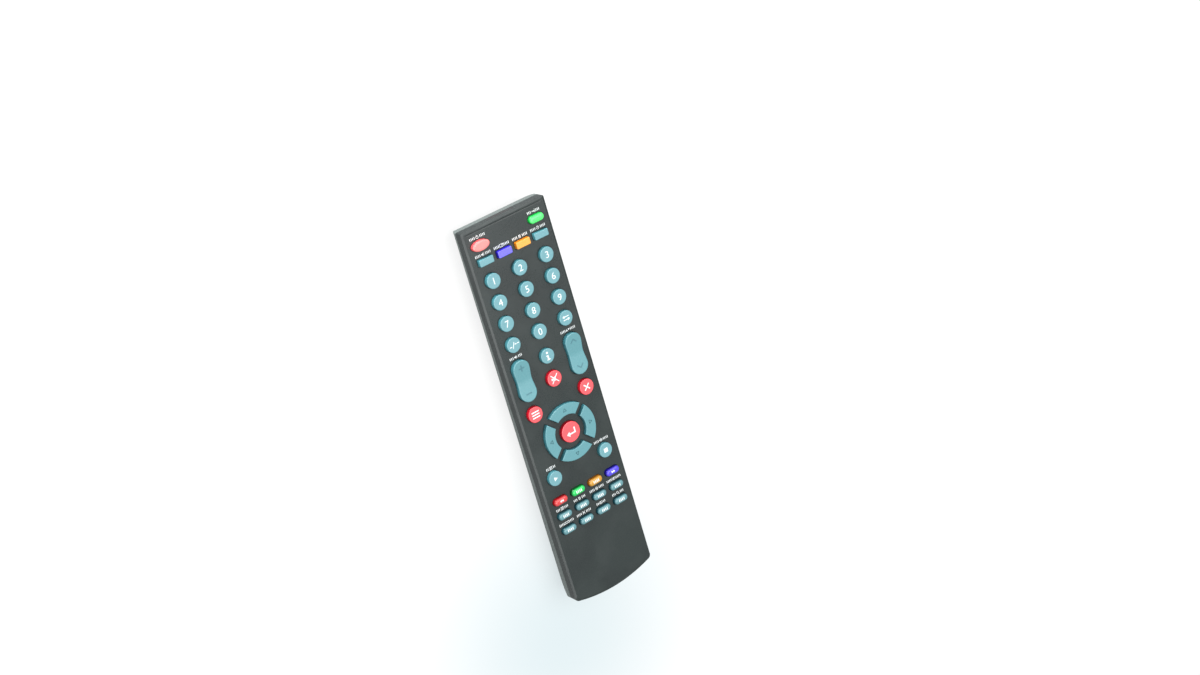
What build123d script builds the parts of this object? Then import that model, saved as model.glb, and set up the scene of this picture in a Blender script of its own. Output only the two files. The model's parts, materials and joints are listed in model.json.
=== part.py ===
"""A hand-held universal remote control, lying on its back with the keys up.

Millimetres. The back lies on Z = 0, +Y points to the end that faces the television
and +X is the user's right. The origin is under the middle of the body.
"""
import os
from dataclasses import dataclass
from math import sqrt
from typing import Callable

from build123d import *

# Body
LENGTH = 211.6
WIDTH = 50.0
THICKNESS = 19.0
PARTING_HEIGHT = 14.0
TAIL_BOW = 4.0
TAIL_CORNER = 2.4
HEAD_CORNER = 0.9
BEVEL_WIDTH = 1.1
BEVEL_DROP = 0.35
FACE_WALL = 1.8
SIDE_WALL = 1.6
BACK_WALL = 1.6
OVERRUN = 1.0
RIM_OVERRUN = 0.15

# Underside of the lower shell, as shares of half the width and of the parting height
HEAD_SIDE_SHARES = (0.928, 0.643)
HEAD_FLAT_SHARE = 0.66
TAIL_SIDE_SHARES = (0.956, 0.536)
TAIL_FLAT_SHARE = 0.752
HEAD_TUCK = 4.5
HEAD_TUCK_SHARES = (0.155, 0.57)
TAIL_SWEEP = 26.0
TAIL_SWEEP_SHARES = (0.385, 0.52)
SIDE_NORMAL_SHARES = (0.92, 0.40)
HEAD_NORMAL_SHARES = (0.99, 0.12)
TAIL_NORMAL_SHARES = (0.50, 0.86)
FOOT_SHARE = 0.6

# Keypad rows and lengths, as shares of the body's length
POWER_ROW_SHARE = 0.0425
MODE_ROW_SHARE = 0.0822
DIGIT_ROW_SHARE = 0.1328
DIGIT_PITCH_SHARE = 0.0548
INFO_ROW_SHARE = 0.3615
ROCKER_ROW_SHARE = 0.3908
MUTE_ROW_SHARE = 0.4211
MENU_ROW_SHARE = 0.4802
PAD_ROW_SHARE = 0.5647
STOP_ROW_SHARE = 0.6536
COLOUR_ROW_SHARE = 0.7141
OVAL_ROW_PITCH_SHARE = 0.0397
ROCKER_LENGTH_SHARE = 0.1068

# Keypad columns and widths, as shares of the body's width
COLUMN_SHARE = 0.324
POWER_COLUMN_SHARE = 0.336
MODE_PITCH_SHARE = 0.221
OVAL_PITCH_SHARE = 0.224
POWER_WIDTH_SHARE = 0.2
INPUT_WIDTH_SHARE = 0.178
MODE_WIDTH_SHARE = 0.164
OVAL_WIDTH_SHARE = 0.172
ROCKER_WIDTH_SHARE = 0.196
ROCKER_WAIST_SHARE = 0.178
PAD_OUTER_SHARE = 0.308
PAD_INNER_SHARE = 0.188
ENTER_RADIUS_SHARE = 0.11

# Round keys, as shares of the pitch of the digit rows
DIGIT_RADIUS_SHARE = 0.3405
RED_RADIUS_SHARE = 0.362

# Key sizes along the body
POWER_DEPTH = 5.3
INPUT_DEPTH = 4.1
MODE_DEPTH = 3.6
OVAL_DEPTH = 4.0
PAD_GAP = 3.2

# Key construction
KEY_HEIGHT = 2.1
KEY_EDGE = 0.3
OVAL_EDGE = 0.7
KEY_GAP = 0.2
KEY_TRAVEL = 0.8
LIP = 1.0
LIP_THICKNESS = 0.7
CEILING_GAP = 0.1
PILL_GAP = 0.1
PILL_SIDE = 2.4
PAD_LIP = 0.8
ROCKER_END_RISE = 0.4
ROCKER_VALLEY = 0.9
ROCKER_GAP = 0.3
EAR_LENGTH = 4.4
EAR_REACH = 1.4
EAR_GAP = 0.25

# Circuit board and key mat
BOARD_THICKNESS = 1.2
BOARD_MARGIN = 0.8
BOARD_TAIL_MARGIN = 8.0
MAT_THICKNESS = 0.6
MAT_INSET = 0.8
MAT_HOLE_GAP = 0.35
CHIP_SIZE = (10.3, 7.5, 2.3)
CHIP_ROW_SHARE = 0.2457
RESONATOR_SIZE = (7.4, 3.0, 3.2)
RESONATOR_STEP = 11.0
CAPACITOR_RADIUS = 3.1
CAPACITOR_LENGTH = 9.0
CAPACITOR_STEP = 24.0

# Cells and their bay
CELL_RADIUS = 5.25
CELL_BODY = 43.5
CELL_BUTTON_RADIUS = 1.9
CELL_BUTTON = 1.0
CELL_PITCH = 11.2
CELL_SIDE_GAP = 0.35
CELL_COVER_GAP = 0.3
CELL_ROOF_GAP = 0.2
BAY_ROOF = 1.1
BAY_WALL = 1.2
BAY_FROM_TAIL = 31.0
CONTACT_PLATE = 0.4
CONTACT_WIDTH = 8.4
SPRING_LENGTH = 3.6
SPRING_BASE_RADIUS = 3.6
SPRING_TIP_RADIUS = 2.2

# Battery cover
COVER_WALL = 1.5
COVER_WIDTH = 29.0
COVER_HEAD_MARGIN = 5.0
COVER_TOP = 9.0
COVER_GAP = 0.2
TONGUE_REACH = 0.9
TONGUE_THICKNESS = 0.6
LEDGE_WIDTH = 4.0
LEDGE_THICKNESS = 1.2
LEDGE_OVERLAP = 1.3
GRIP_COUNT = 5
GRIP_PITCH = 2.2
GRIP_WIDTH = 1.0
GRIP_DEPTH = 0.45
GRIP_LENGTH = 15.0
GRIP_FROM_EDGE = 5.0

# Screws and the posts they draw together
SCREW_X = 7.5
SCREW_RADIUS = 1.2
SCREW_HEAD_RADIUS = 2.3
SCREW_HEAD_HEIGHT = 1.7
SCREW_RECESS = 4.5
SCREW_GAP = 0.1
SCREW_TIP_GAP = 0.6
POST_RADIUS = 2.2
BOSS_RADIUS = 3.6
POST_GAP = 0.3

# Cross ribs that carry the board in the head half
RIB_THICKNESS = 1.2
RIB_ROW_SHARES = (0.0945, 0.4348)
RIB_SIDE_GAP = 3.0

# Emitter and its window
WINDOW_WIDTH = 16.0
WINDOW_HEIGHT = 2.6
WINDOW_SILL = 0.5
WINDOW_GAP = 0.1
LED_RADIUS = 1.5
LED_BODY = 3.4
LED_NOSE = 1.1
LED_NOSE_RADIUS = 0.8
LED_WINDOW_GAP = 0.4
LEAD_SIDE = 0.5
LEAD_LENGTH = 4.0
LEAD_SPACING = 1.27
NOTCH_WIDTH = 8.0
NOTCH_DEPTH = 6.2
MAT_NOTCH_DEPTH = 11.0

# Keypad that follows from the shares above
POWER_ROW = POWER_ROW_SHARE * LENGTH
MODE_ROW = MODE_ROW_SHARE * LENGTH
DIGIT_ROW = DIGIT_ROW_SHARE * LENGTH
DIGIT_PITCH = DIGIT_PITCH_SHARE * LENGTH
INFO_ROW = INFO_ROW_SHARE * LENGTH
ROCKER_ROW = ROCKER_ROW_SHARE * LENGTH
MUTE_ROW = MUTE_ROW_SHARE * LENGTH
MENU_ROW = MENU_ROW_SHARE * LENGTH
PAD_ROW = PAD_ROW_SHARE * LENGTH
STOP_ROW = STOP_ROW_SHARE * LENGTH
COLOUR_ROW = COLOUR_ROW_SHARE * LENGTH
OVAL_ROW_PITCH = OVAL_ROW_PITCH_SHARE * LENGTH
COLUMN = COLUMN_SHARE * WIDTH
POWER_COLUMN = POWER_COLUMN_SHARE * WIDTH
MODE_PITCH = MODE_PITCH_SHARE * WIDTH
OVAL_PITCH = OVAL_PITCH_SHARE * WIDTH
POWER_SIZE = (POWER_WIDTH_SHARE * WIDTH, POWER_DEPTH)
INPUT_SIZE = (INPUT_WIDTH_SHARE * WIDTH, INPUT_DEPTH)
MODE_SIZE = (MODE_WIDTH_SHARE * WIDTH, MODE_DEPTH)
OVAL_SIZE = (OVAL_WIDTH_SHARE * WIDTH, OVAL_DEPTH)
ROCKER_LENGTH = ROCKER_LENGTH_SHARE * LENGTH
ROCKER_WIDTH = ROCKER_WIDTH_SHARE * WIDTH
ROCKER_WAIST = ROCKER_WAIST_SHARE * WIDTH
PAD_OUTER = PAD_OUTER_SHARE * WIDTH
PAD_INNER = PAD_INNER_SHARE * WIDTH
ENTER_RADIUS = ENTER_RADIUS_SHARE * WIDTH
DIGIT_RADIUS = DIGIT_RADIUS_SHARE * DIGIT_PITCH
RED_RADIUS = RED_RADIUS_SHARE * DIGIT_PITCH

# Heights that follow from the sizes above
BOARD_BOTTOM = COVER_WALL + CELL_COVER_GAP + 2 * CELL_RADIUS + CELL_ROOF_GAP + BAY_ROOF
BOARD_TOP = BOARD_BOTTOM + BOARD_THICKNESS
CEILING = THICKNESS - FACE_WALL
LIP_TOP = CEILING - CEILING_GAP
LIP_BOTTOM = LIP_TOP - LIP_THICKNESS
PILL_BOTTOM = BOARD_TOP + PILL_GAP + KEY_TRAVEL
KEY_TOP = THICKNESS + KEY_HEIGHT
CELL_Z = COVER_WALL + CELL_COVER_GAP + CELL_RADIUS
CELL_LENGTH = CELL_BODY + CELL_BUTTON
LEAD_BOTTOM = BOARD_TOP
LED_Z = LEAD_BOTTOM + LEAD_SIDE / 2

# Lengthwise places that follow from the sizes above
HEAD = LENGTH / 2
TAIL = -LENGTH / 2
BAY_TAIL = TAIL + BAY_FROM_TAIL
BAY_LENGTH = 2 * CONTACT_PLATE + SPRING_LENGTH + CELL_LENGTH
BAY_HEAD = BAY_TAIL + BAY_LENGTH
BAY_HALF = CELL_PITCH / 2 + CELL_RADIUS + CELL_SIDE_GAP
COVER_HEAD = BAY_HEAD + COVER_HEAD_MARGIN
LAST_ROW = COLOUR_ROW + 2 * OVAL_ROW_PITCH
CHIP_ROW = CHIP_ROW_SHARE * LENGTH
SCREW_ROW = DIGIT_ROW + DIGIT_PITCH / 2


def from_head(distance):
    """The Y of a place that is a distance in from the head end."""
    return HEAD - distance


def block(x_range, y_range, z_range):
    """A box between three pairs of limits."""
    size = [high - low for low, high in (x_range, y_range, z_range)]
    middle = [(low + high) / 2 for low, high in (x_range, y_range, z_range)]
    return Pos(*middle) * Box(*size)


def post(x, y, radius, z_range):
    """An upright round post."""
    low, high = z_range
    return Pos(x, y, (low + high) / 2) * Cylinder(radius, high - low)


# Outlines of the keys. Each takes the amount by which it grows all round.


def round_outline(radius):
    return lambda grow=0: Circle(radius + grow)


def oval_outline(size):
    return lambda grow=0: SlotOverall(size[0] + 2 * grow, size[1] + 2 * grow)


def ellipse_outline(size):
    return lambda grow=0: Ellipse(size[0] / 2 + grow, size[1] / 2 + grow)


def bar_outline(size):
    return lambda grow=0: Rectangle(size[0] + 2 * grow, size[1] + 2 * grow)


def sector_outline(turn):
    """A quarter of the direction ring, with half the gap taken off each straight side."""

    def outline(grow=0):
        apex = (PAD_GAP / 2 - grow) * sqrt(2)
        far = 2 * PAD_OUTER
        wedge = make_face(Polyline((0, apex), (far, apex + far), (-far, apex + far), close=True))
        ring = Circle(PAD_OUTER + grow) - Circle(PAD_INNER - grow)
        return Rot(0, 0, turn) * (ring & wedge)

    return outline


def rocker_outline(grow=0):
    """Two round lobes joined by a slightly narrower waist."""
    lobe_step = ROCKER_LENGTH - ROCKER_WIDTH
    waist_depth = (ROCKER_WIDTH - ROCKER_WAIST) / 2
    waist_radius = ((lobe_step / 2) ** 2 + waist_depth**2) / (2 * waist_depth)
    centre = ROCKER_WAIST / 2 + waist_radius
    slot = Rot(0, 0, 90) * SlotOverall(ROCKER_LENGTH + 2 * grow, ROCKER_WIDTH + 2 * grow)
    for side in (-1, 1):
        slot -= Pos(side * centre, 0) * Circle(waist_radius - grow)
    return slot


@dataclass
class Key:
    """A key that is pressed straight down."""

    name: str
    x: float
    row: float
    outline: Callable
    size: tuple
    edge: float = KEY_EDGE

    @property
    def place(self):
        return Pos(self.x, from_head(self.row))


def spread(count, pitch):
    """Evenly spaced places about the middle."""
    return [(index - (count - 1) / 2) * pitch for index in range(count)]


def round_key(name, x, row, radius):
    return Key(name, x, row, round_outline(radius), (2 * radius, 2 * radius))


def oval_key(name, x, row, size, outline=oval_outline):
    return Key(name, x, row, outline(size), size, OVAL_EDGE)


def mode_keys():
    """The row of four flat bars."""
    names = ("key_sound", "key_picture", "key_freeze", "key_sleep")
    outline = bar_outline(MODE_SIZE)
    places = spread(len(names), MODE_PITCH)
    return [Key(name, x, MODE_ROW, outline, MODE_SIZE) for name, x in zip(names, places)]


def digit_keys():
    """Three columns and four rows, as on a telephone."""
    names = ("1", "2", "3", "4", "5", "6", "7", "8", "9", "dash", "0", "swap")
    keys = []
    for index, name in enumerate(names):
        line, column = divmod(index, 3)
        row = DIGIT_ROW + line * DIGIT_PITCH
        keys.append(round_key(f"key_{name}", (column - 1) * COLUMN, row, DIGIT_RADIUS))
    return keys


def oval_keys():
    """One row of colour keys and two rows of text keys."""
    colours = ("red", "green", "amber", "blue")
    rows = [[f"key_{colour}" for colour in colours]]
    rows += [[f"key_text_{line}{place}" for place in "abcd"] for line in (1, 2)]
    keys = []
    for line, names in enumerate(rows):
        row = COLOUR_ROW + line * OVAL_ROW_PITCH
        for name, x in zip(names, spread(len(names), OVAL_PITCH)):
            keys.append(oval_key(name, x, row, OVAL_SIZE))
    return keys


def single_keys():
    """The keys that stand by themselves."""
    return [
        oval_key("key_power", -POWER_COLUMN, POWER_ROW, POWER_SIZE, ellipse_outline),
        oval_key("key_input", POWER_COLUMN, POWER_ROW, INPUT_SIZE),
        round_key("key_info", 0, INFO_ROW, DIGIT_RADIUS),
        round_key("key_mute", 0, MUTE_ROW, RED_RADIUS),
        round_key("key_menu", -COLUMN, MENU_ROW, RED_RADIUS),
        round_key("key_exit", COLUMN, MENU_ROW, RED_RADIUS),
        round_key("key_play", -COLUMN, STOP_ROW, DIGIT_RADIUS),
        round_key("key_stop", COLUMN, STOP_ROW, DIGIT_RADIUS),
    ]


PUSH_KEYS = single_keys() + mode_keys() + digit_keys() + oval_keys()
ARROWS = {"key_up": 0, "key_left": 90, "key_down": 180, "key_right": 270}
ROCKERS = {"rocker_volume": -COLUMN, "rocker_program": COLUMN}
PAD_PLACE = Pos(0, from_head(PAD_ROW))


def plan(inset, z):
    """The outline of the body seen from above, drawn in by an inset."""
    half, head, tail = WIDTH / 2 - inset, HEAD - inset, TAIL + inset
    sides = Polyline((-half, tail + TAIL_BOW), (-half, head), (half, head), (half, tail + TAIL_BOW))
    bow = ThreePointArc((half, tail + TAIL_BOW), (0, tail), (-half, tail + TAIL_BOW))
    face = make_face(sides + bow)
    rows = face.vertices().group_by(Axis.Y)
    face = fillet(rows[0], TAIL_CORNER)
    face = fillet(face.vertices().group_by(Axis.Y)[-1], HEAD_CORNER)
    return Pos(0, 0, z) * face


def prism(inset, low, high):
    """The body's outline as an upright solid."""
    return extrude(plan(inset, low), amount=high - low)


def hull_section(y, side_shares, flat_share, inset):
    """The cross-section of the lower shell, from the parting line round to the flat back."""
    half = WIDTH / 2
    side_x = half * side_shares[0] - inset * SIDE_NORMAL_SHARES[0]
    side_z = PARTING_HEIGHT * side_shares[1] + inset * SIDE_NORMAL_SHARES[1]
    flat = half * flat_share - inset * FOOT_SHARE
    rim = half - inset + RIM_OVERRUN
    low, top = inset - OVERRUN, PARTING_HEIGHT + 2 * OVERRUN
    plane = Plane.XZ.offset(-y)
    upper = Polyline((rim, PARTING_HEIGHT), (rim, top), (-rim, top), (-rim, PARTING_HEIGHT))
    left = ThreePointArc((-rim, PARTING_HEIGHT), (-side_x, side_z), (-flat, inset))
    foot = Polyline((-flat, inset), (-flat, low), (flat, low), (flat, inset))
    right = ThreePointArc((flat, inset), (side_x, side_z), (rim, PARTING_HEIGHT))
    return plane * make_face(upper + left + foot + right)


def hull_profile(inset):
    """The lower shell seen from the side: a tucked head and a tail that sweeps up."""
    top = PARTING_HEIGHT + 2 * OVERRUN
    head, tail = HEAD - inset + RIM_OVERRUN, TAIL + inset - OVERRUN
    head_via = (
        HEAD - HEAD_TUCK * HEAD_TUCK_SHARES[0] - inset * HEAD_NORMAL_SHARES[0],
        PARTING_HEIGHT * HEAD_TUCK_SHARES[1] + inset * HEAD_NORMAL_SHARES[1],
    )
    tail_via = (
        TAIL + TAIL_SWEEP * TAIL_SWEEP_SHARES[0] + inset * TAIL_NORMAL_SHARES[0],
        PARTING_HEIGHT * TAIL_SWEEP_SHARES[1] + inset * TAIL_NORMAL_SHARES[1],
    )
    head_foot = (HEAD - HEAD_TUCK - inset * FOOT_SHARE, inset)
    tail_foot = (TAIL + TAIL_SWEEP + inset * FOOT_SHARE, inset)
    upper = Polyline((head, PARTING_HEIGHT), (head, top), (tail, top), (tail, PARTING_HEIGHT))
    sweep = ThreePointArc((tail, PARTING_HEIGHT), tail_via, tail_foot)
    foot = Line(tail_foot, head_foot)
    tuck = ThreePointArc(head_foot, head_via, (head, PARTING_HEIGHT))
    return Plane.YZ * make_face(upper + sweep + foot + tuck)


def hull(inset, top):
    """The lower shell as a full block: three outlines that meet."""
    head_section = hull_section(HEAD + OVERRUN, HEAD_SIDE_SHARES, HEAD_FLAT_SHARE, inset)
    tail_section = hull_section(TAIL - OVERRUN, TAIL_SIDE_SHARES, TAIL_FLAT_SHARE, inset)
    body = loft([head_section, tail_section], ruled=True)
    side = extrude(hull_profile(inset), amount=WIDTH / 2 + 2 * OVERRUN, both=True)
    return body & (side & prism(inset, -OVERRUN, top))


def pad_outlines(grow):
    """The four direction keys' outlines, in their places."""
    return [PAD_PLACE * sector_outline(turn)(grow) for turn in ARROWS.values()]


def key_windows():
    """Every hole that a key comes up through."""
    outlines = [key.place * key.outline(KEY_GAP) for key in PUSH_KEYS]
    outlines += pad_outlines(KEY_GAP)
    outlines.append(PAD_PLACE * Circle(ENTER_RADIUS + KEY_GAP))
    for x in ROCKERS.values():
        outlines.append(Pos(x, from_head(ROCKER_ROW)) * rocker_outline(ROCKER_GAP))
    return [Pos(0, 0, CEILING - OVERRUN) * extrude(o, amount=FACE_WALL + 2 * OVERRUN) for o in outlines]


def window_ranges(gap):
    """The emitter window's place in the head wall."""
    half = WINDOW_WIDTH / 2 - gap
    sill = PARTING_HEIGHT + WINDOW_SILL + gap
    return (-half, half), (HEAD - SIDE_WALL, HEAD), (sill, sill + WINDOW_HEIGHT - 2 * gap)


def screw_places():
    """The two case screws, between the first two rows of digits."""
    return [(side * SCREW_X, from_head(SCREW_ROW)) for side in (-1, 1)]


def make_upper_shell():
    """The face with its key windows, its bevelled rim and the posts for the screws."""
    shoulder = THICKNESS - BEVEL_DROP
    body = prism(0, PARTING_HEIGHT, shoulder)
    body += loft([plan(0, shoulder), plan(BEVEL_WIDTH, THICKNESS)], ruled=True)
    body -= prism(SIDE_WALL, PARTING_HEIGHT - OVERRUN, CEILING)
    body -= key_windows()
    x_range, y_range, z_range = window_ranges(0)
    body -= block(x_range, (y_range[0] - OVERRUN, y_range[1] + OVERRUN), z_range)
    for x, y in screw_places():
        body += post(x, y, POST_RADIUS, (BOARD_BOTTOM, CEILING))
        body -= post(x, y, SCREW_RADIUS + SCREW_GAP, (BOARD_BOTTOM - OVERRUN, CEILING))
    return body


def make_ir_window():
    """The dark window that passes the infrared signal."""
    return block(*window_ranges(WINDOW_GAP))


def bay_block(grow):
    """The room for the two cells, grown by a wall."""
    half = BAY_HALF + grow
    floor = COVER_WALL + COVER_GAP
    return block((-half, half), (BAY_TAIL - grow, BAY_HEAD + grow), (floor, BOARD_BOTTOM))


def bulkhead(y_range):
    """A cross wall from side to side that carries the bay and the board."""
    half = WIDTH / 2
    wall = block((-half, half), y_range, (COVER_WALL + COVER_GAP, BOARD_BOTTOM))
    return wall & hull(BACK_WALL / 2, BOARD_BOTTOM)


def cover_zone(gap):
    """The part of the underside that the battery cover takes up."""
    half = COVER_WIDTH / 2 + gap
    return block((-half, half), (TAIL - OVERRUN, COVER_HEAD + gap), (-OVERRUN, COVER_TOP + gap))


def ledge(side):
    """A rail over one edge of the battery cover, with a groove for its tongue."""
    edge = COVER_WIDTH / 2
    inner, outer = edge - LEDGE_OVERLAP, edge - LEDGE_OVERLAP + LEDGE_WIDTH
    low = COVER_WALL + COVER_GAP
    x_range = sorted((side * inner, side * outer))
    return block(x_range, (BAY_TAIL - BAY_WALL, COVER_HEAD), (low, low + LEDGE_THICKNESS))


def tongue(side, gap):
    """The strip along one edge of the cover that runs in the rail's groove."""
    edge = COVER_WIDTH / 2
    x_range = sorted((side * (edge - OVERRUN), side * (edge + TONGUE_REACH + gap)))
    low = COVER_WALL - TONGUE_THICKNESS - gap
    tail = TAIL - OVERRUN if gap else BAY_TAIL
    return block(x_range, (tail, COVER_HEAD + gap), (low, COVER_WALL + gap))


def cross_rib(row):
    """A rib across the floor of the shell, up to the board."""
    half = WIDTH / 2 - RIB_SIDE_GAP
    y = from_head(row)
    wall = block((-half, half), (y - RIB_THICKNESS / 2, y + RIB_THICKNESS / 2), (0, BOARD_BOTTOM))
    return wall & hull(BACK_WALL / 2, BOARD_BOTTOM)


def make_lower_shell():
    """The hull, its battery bay, cover rails, board ribs and screw bosses."""
    body = hull(0, PARTING_HEIGHT) - hull(BACK_WALL, PARTING_HEIGHT + OVERRUN)
    body -= cover_zone(COVER_GAP)
    for side in (-1, 1):
        body += ledge(side)
    body += bay_block(BAY_WALL)
    body += bulkhead((BAY_HEAD, BAY_HEAD + BAY_WALL))
    body += bulkhead((BAY_TAIL - BAY_WALL, BAY_TAIL))
    for share in RIB_ROW_SHARES:
        body += cross_rib(share * LENGTH)
    for x, y in screw_places():
        body += post(x, y, BOSS_RADIUS, (BACK_WALL / 2, BOARD_BOTTOM))
    roof = BOARD_BOTTOM - BAY_ROOF
    body -= block((-BAY_HALF, BAY_HALF), (BAY_TAIL, BAY_HEAD), (0, roof))
    for side in (-1, 1):
        body -= tongue(side, COVER_GAP)
    for x, y in screw_places():
        body -= post(x, y, SCREW_RADIUS + SCREW_GAP, (-OVERRUN, BOARD_BOTTOM + OVERRUN))
        body -= post(x, y, SCREW_HEAD_RADIUS + SCREW_GAP, (-OVERRUN, SCREW_RECESS))
    return body


def make_battery_cover():
    """The door that slides off the tail: a strip of the underside with two tongues."""
    body = (hull(0, PARTING_HEIGHT) - hull(COVER_WALL, PARTING_HEIGHT)) & cover_zone(0)
    for side in (-1, 1):
        body += tongue(side, 0)
    half = GRIP_LENGTH / 2
    for index in range(GRIP_COUNT):
        y = COVER_HEAD - GRIP_FROM_EDGE - index * GRIP_PITCH
        body -= block((-half, half), (y - GRIP_WIDTH, y), (-OVERRUN, GRIP_DEPTH))
    return body


def notch(depth):
    """The cut in a sheet's head edge that makes room for the emitter."""
    half = NOTCH_WIDTH / 2
    edge = HEAD - SIDE_WALL
    return (-half, half), (edge - depth, edge + OVERRUN)


def board_sheet(inset, z_range, notch_depth):
    """A sheet of the board's outline with the notch and the holes for the posts."""
    half = WIDTH / 2 - SIDE_WALL - BOARD_MARGIN - inset
    head = HEAD - SIDE_WALL - BOARD_MARGIN - inset
    tail = from_head(LAST_ROW) - BOARD_TAIL_MARGIN + inset
    sheet = block((-half, half), (tail, head), z_range)
    x_range, y_range = notch(notch_depth)
    sheet -= block(x_range, y_range, (z_range[0] - OVERRUN, z_range[1] + OVERRUN))
    for x, y in screw_places():
        sheet -= post(x, y, POST_RADIUS + POST_GAP, (z_range[0] - OVERRUN, z_range[1] + OVERRUN))
    return sheet


def make_circuit_board():
    """The board that carries the contacts and the electronics."""
    return board_sheet(0, (BOARD_BOTTOM, BOARD_TOP), NOTCH_DEPTH)


def pill_places():
    """The centres of all contact pills."""
    places = [(key.x, from_head(key.row)) for key in PUSH_KEYS]
    middle = (PAD_OUTER + PAD_INNER) / 2
    places += [(side * middle, from_head(PAD_ROW)) for side in (-1, 0, 1)]
    places += [(0, from_head(PAD_ROW) + side * middle) for side in (-1, 1)]
    step = (ROCKER_LENGTH - ROCKER_WIDTH) / 2
    for x in ROCKERS.values():
        places += [(x, from_head(ROCKER_ROW) + side * step) for side in (-1, 1)]
    return places


def pill(x, y, gap, z_range):
    """One square contact pill, or the hole for it."""
    half = PILL_SIDE / 2 + gap
    return block((x - half, x + half), (y - half, y + half), z_range)


def make_key_mat():
    """The rubber sheet over the board, open where the pills reach through."""
    sheet = board_sheet(MAT_INSET, (BOARD_TOP, BOARD_TOP + MAT_THICKNESS), MAT_NOTCH_DEPTH)
    cut = (BOARD_TOP - OVERRUN, BOARD_TOP + MAT_THICKNESS + OVERRUN)
    return sheet - [pill(x, y, MAT_HOLE_GAP, cut) for x, y in pill_places()]


def cap(outline, edge):
    """A key cap with an eased top edge, from its lip to its top."""
    body = Pos(0, 0, LIP_TOP) * extrude(outline, amount=KEY_TOP - LIP_TOP)
    return chamfer(body.faces().sort_by(Axis.Z)[-1].edges(), edge)


def make_push_key(key):
    """A cap, the lip that holds it under the face, and the pill that closes its contact."""
    y = from_head(key.row)
    half_x, half_y = key.size[0] / 2 + LIP, key.size[1] / 2 + LIP
    body = cap(key.place * key.outline(), key.edge)
    x_range, y_range = (key.x - half_x, key.x + half_x), (y - half_y, y + half_y)
    body += block(x_range, y_range, (LIP_BOTTOM, LIP_TOP))
    return body + pill(key.x, y, 0, (PILL_BOTTOM, LIP_BOTTOM))


def make_enter_key():
    """The round key in the middle of the direction ring."""
    y = from_head(PAD_ROW)
    body = cap(PAD_PLACE * Circle(ENTER_RADIUS), KEY_EDGE)
    body += post(0, y, ENTER_RADIUS + LIP, (LIP_BOTTOM, LIP_TOP))
    return body + pill(0, y, 0, (PILL_BOTTOM, LIP_BOTTOM))


def make_arrow_key(turn):
    """One quarter of the direction ring."""
    middle = (PAD_OUTER + PAD_INNER) / 2
    outline = sector_outline(turn)
    body = cap(PAD_PLACE * outline(), KEY_EDGE)
    lip = PAD_PLACE * outline(PAD_LIP)
    body += Pos(0, 0, LIP_BOTTOM) * extrude(lip, amount=LIP_THICKNESS)
    contact = pill(0, middle, 0, (PILL_BOTTOM, LIP_BOTTOM))
    return body + PAD_PLACE * Rot(0, 0, turn) * contact


def rocker_valley():
    """The wedge of air over a rocker: its two halves slope down to the middle."""
    top = KEY_TOP + ROCKER_END_RISE
    end = ROCKER_LENGTH / 2
    slope = ROCKER_VALLEY / end
    reach = end + OVERRUN
    outline = Polyline(
        (0, top - ROCKER_VALLEY),
        (reach, top + slope * OVERRUN),
        (-reach, top + slope * OVERRUN),
        close=True,
    )
    return extrude(Plane.YZ * make_face(outline), amount=ROCKER_WIDTH, both=True)


def make_rocker(x):
    """A two-way key that tips on the ears at its waist."""
    top = KEY_TOP + ROCKER_END_RISE
    body = Pos(0, 0, LIP_BOTTOM) * extrude(rocker_outline(), amount=top - LIP_BOTTOM)
    body -= rocker_valley()
    reach = ROCKER_WAIST / 2 + EAR_REACH
    ear = EAR_LENGTH / 2
    body += block((-reach, reach), (-ear, ear), (LIP_BOTTOM, CEILING - EAR_GAP))
    step = (ROCKER_LENGTH - ROCKER_WIDTH) / 2
    for side in (-1, 1):
        body += pill(0, side * step, 0, (PILL_BOTTOM, LIP_BOTTOM))
    return Pos(x, from_head(ROCKER_ROW)) * body


def make_ir_led():
    """The emitter: a barrel with a tapered nose and two leads back to the board."""
    back = HEAD - SIDE_WALL - LED_WINDOW_GAP - LED_NOSE - LED_BODY
    barrel = Cylinder(LED_RADIUS, LED_BODY)
    nose = Pos(0, 0, (LED_BODY + LED_NOSE) / 2) * Cone(LED_RADIUS, LED_NOSE_RADIUS, LED_NOSE)
    body = Pos(0, back + LED_BODY / 2, LED_Z) * Rot(-90, 0, 0) * (barrel + nose)
    for side in (-1, 1):
        x = side * LEAD_SPACING
        x_range = (x - LEAD_SIDE / 2, x + LEAD_SIDE / 2)
        z_range = (LEAD_BOTTOM, LEAD_BOTTOM + LEAD_SIDE)
        body += block(x_range, (back - LEAD_LENGTH, back + OVERRUN), z_range)
    return body


def under_board(size, x, row):
    """A component hung from the underside of the board."""
    y = from_head(row)
    x_range = (x - size[0] / 2, x + size[0] / 2)
    y_range = (y - size[1] / 2, y + size[1] / 2)
    return block(x_range, y_range, (BOARD_BOTTOM - size[2], BOARD_BOTTOM))


def make_capacitor():
    """The smoothing capacitor, laid flat under the board."""
    y = from_head(CHIP_ROW + CAPACITOR_STEP)
    place = Pos(0, y, BOARD_BOTTOM - CAPACITOR_RADIUS)
    return place * Rot(0, 90, 0) * Cylinder(CAPACITOR_RADIUS, CAPACITOR_LENGTH)


def cell_ends(side):
    """Where one cell's body starts and which way its button points."""
    if side < 0:
        return BAY_TAIL + CONTACT_PLATE + SPRING_LENGTH, 1
    return BAY_HEAD - CONTACT_PLATE - SPRING_LENGTH, -1


def along(x, start, way, radius, length):
    """A round bar along Y from a start point, one way or the other."""
    return Pos(x, start + way * length / 2, CELL_Z) * Rot(90, 0, 0) * Cylinder(radius, length)


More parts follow.
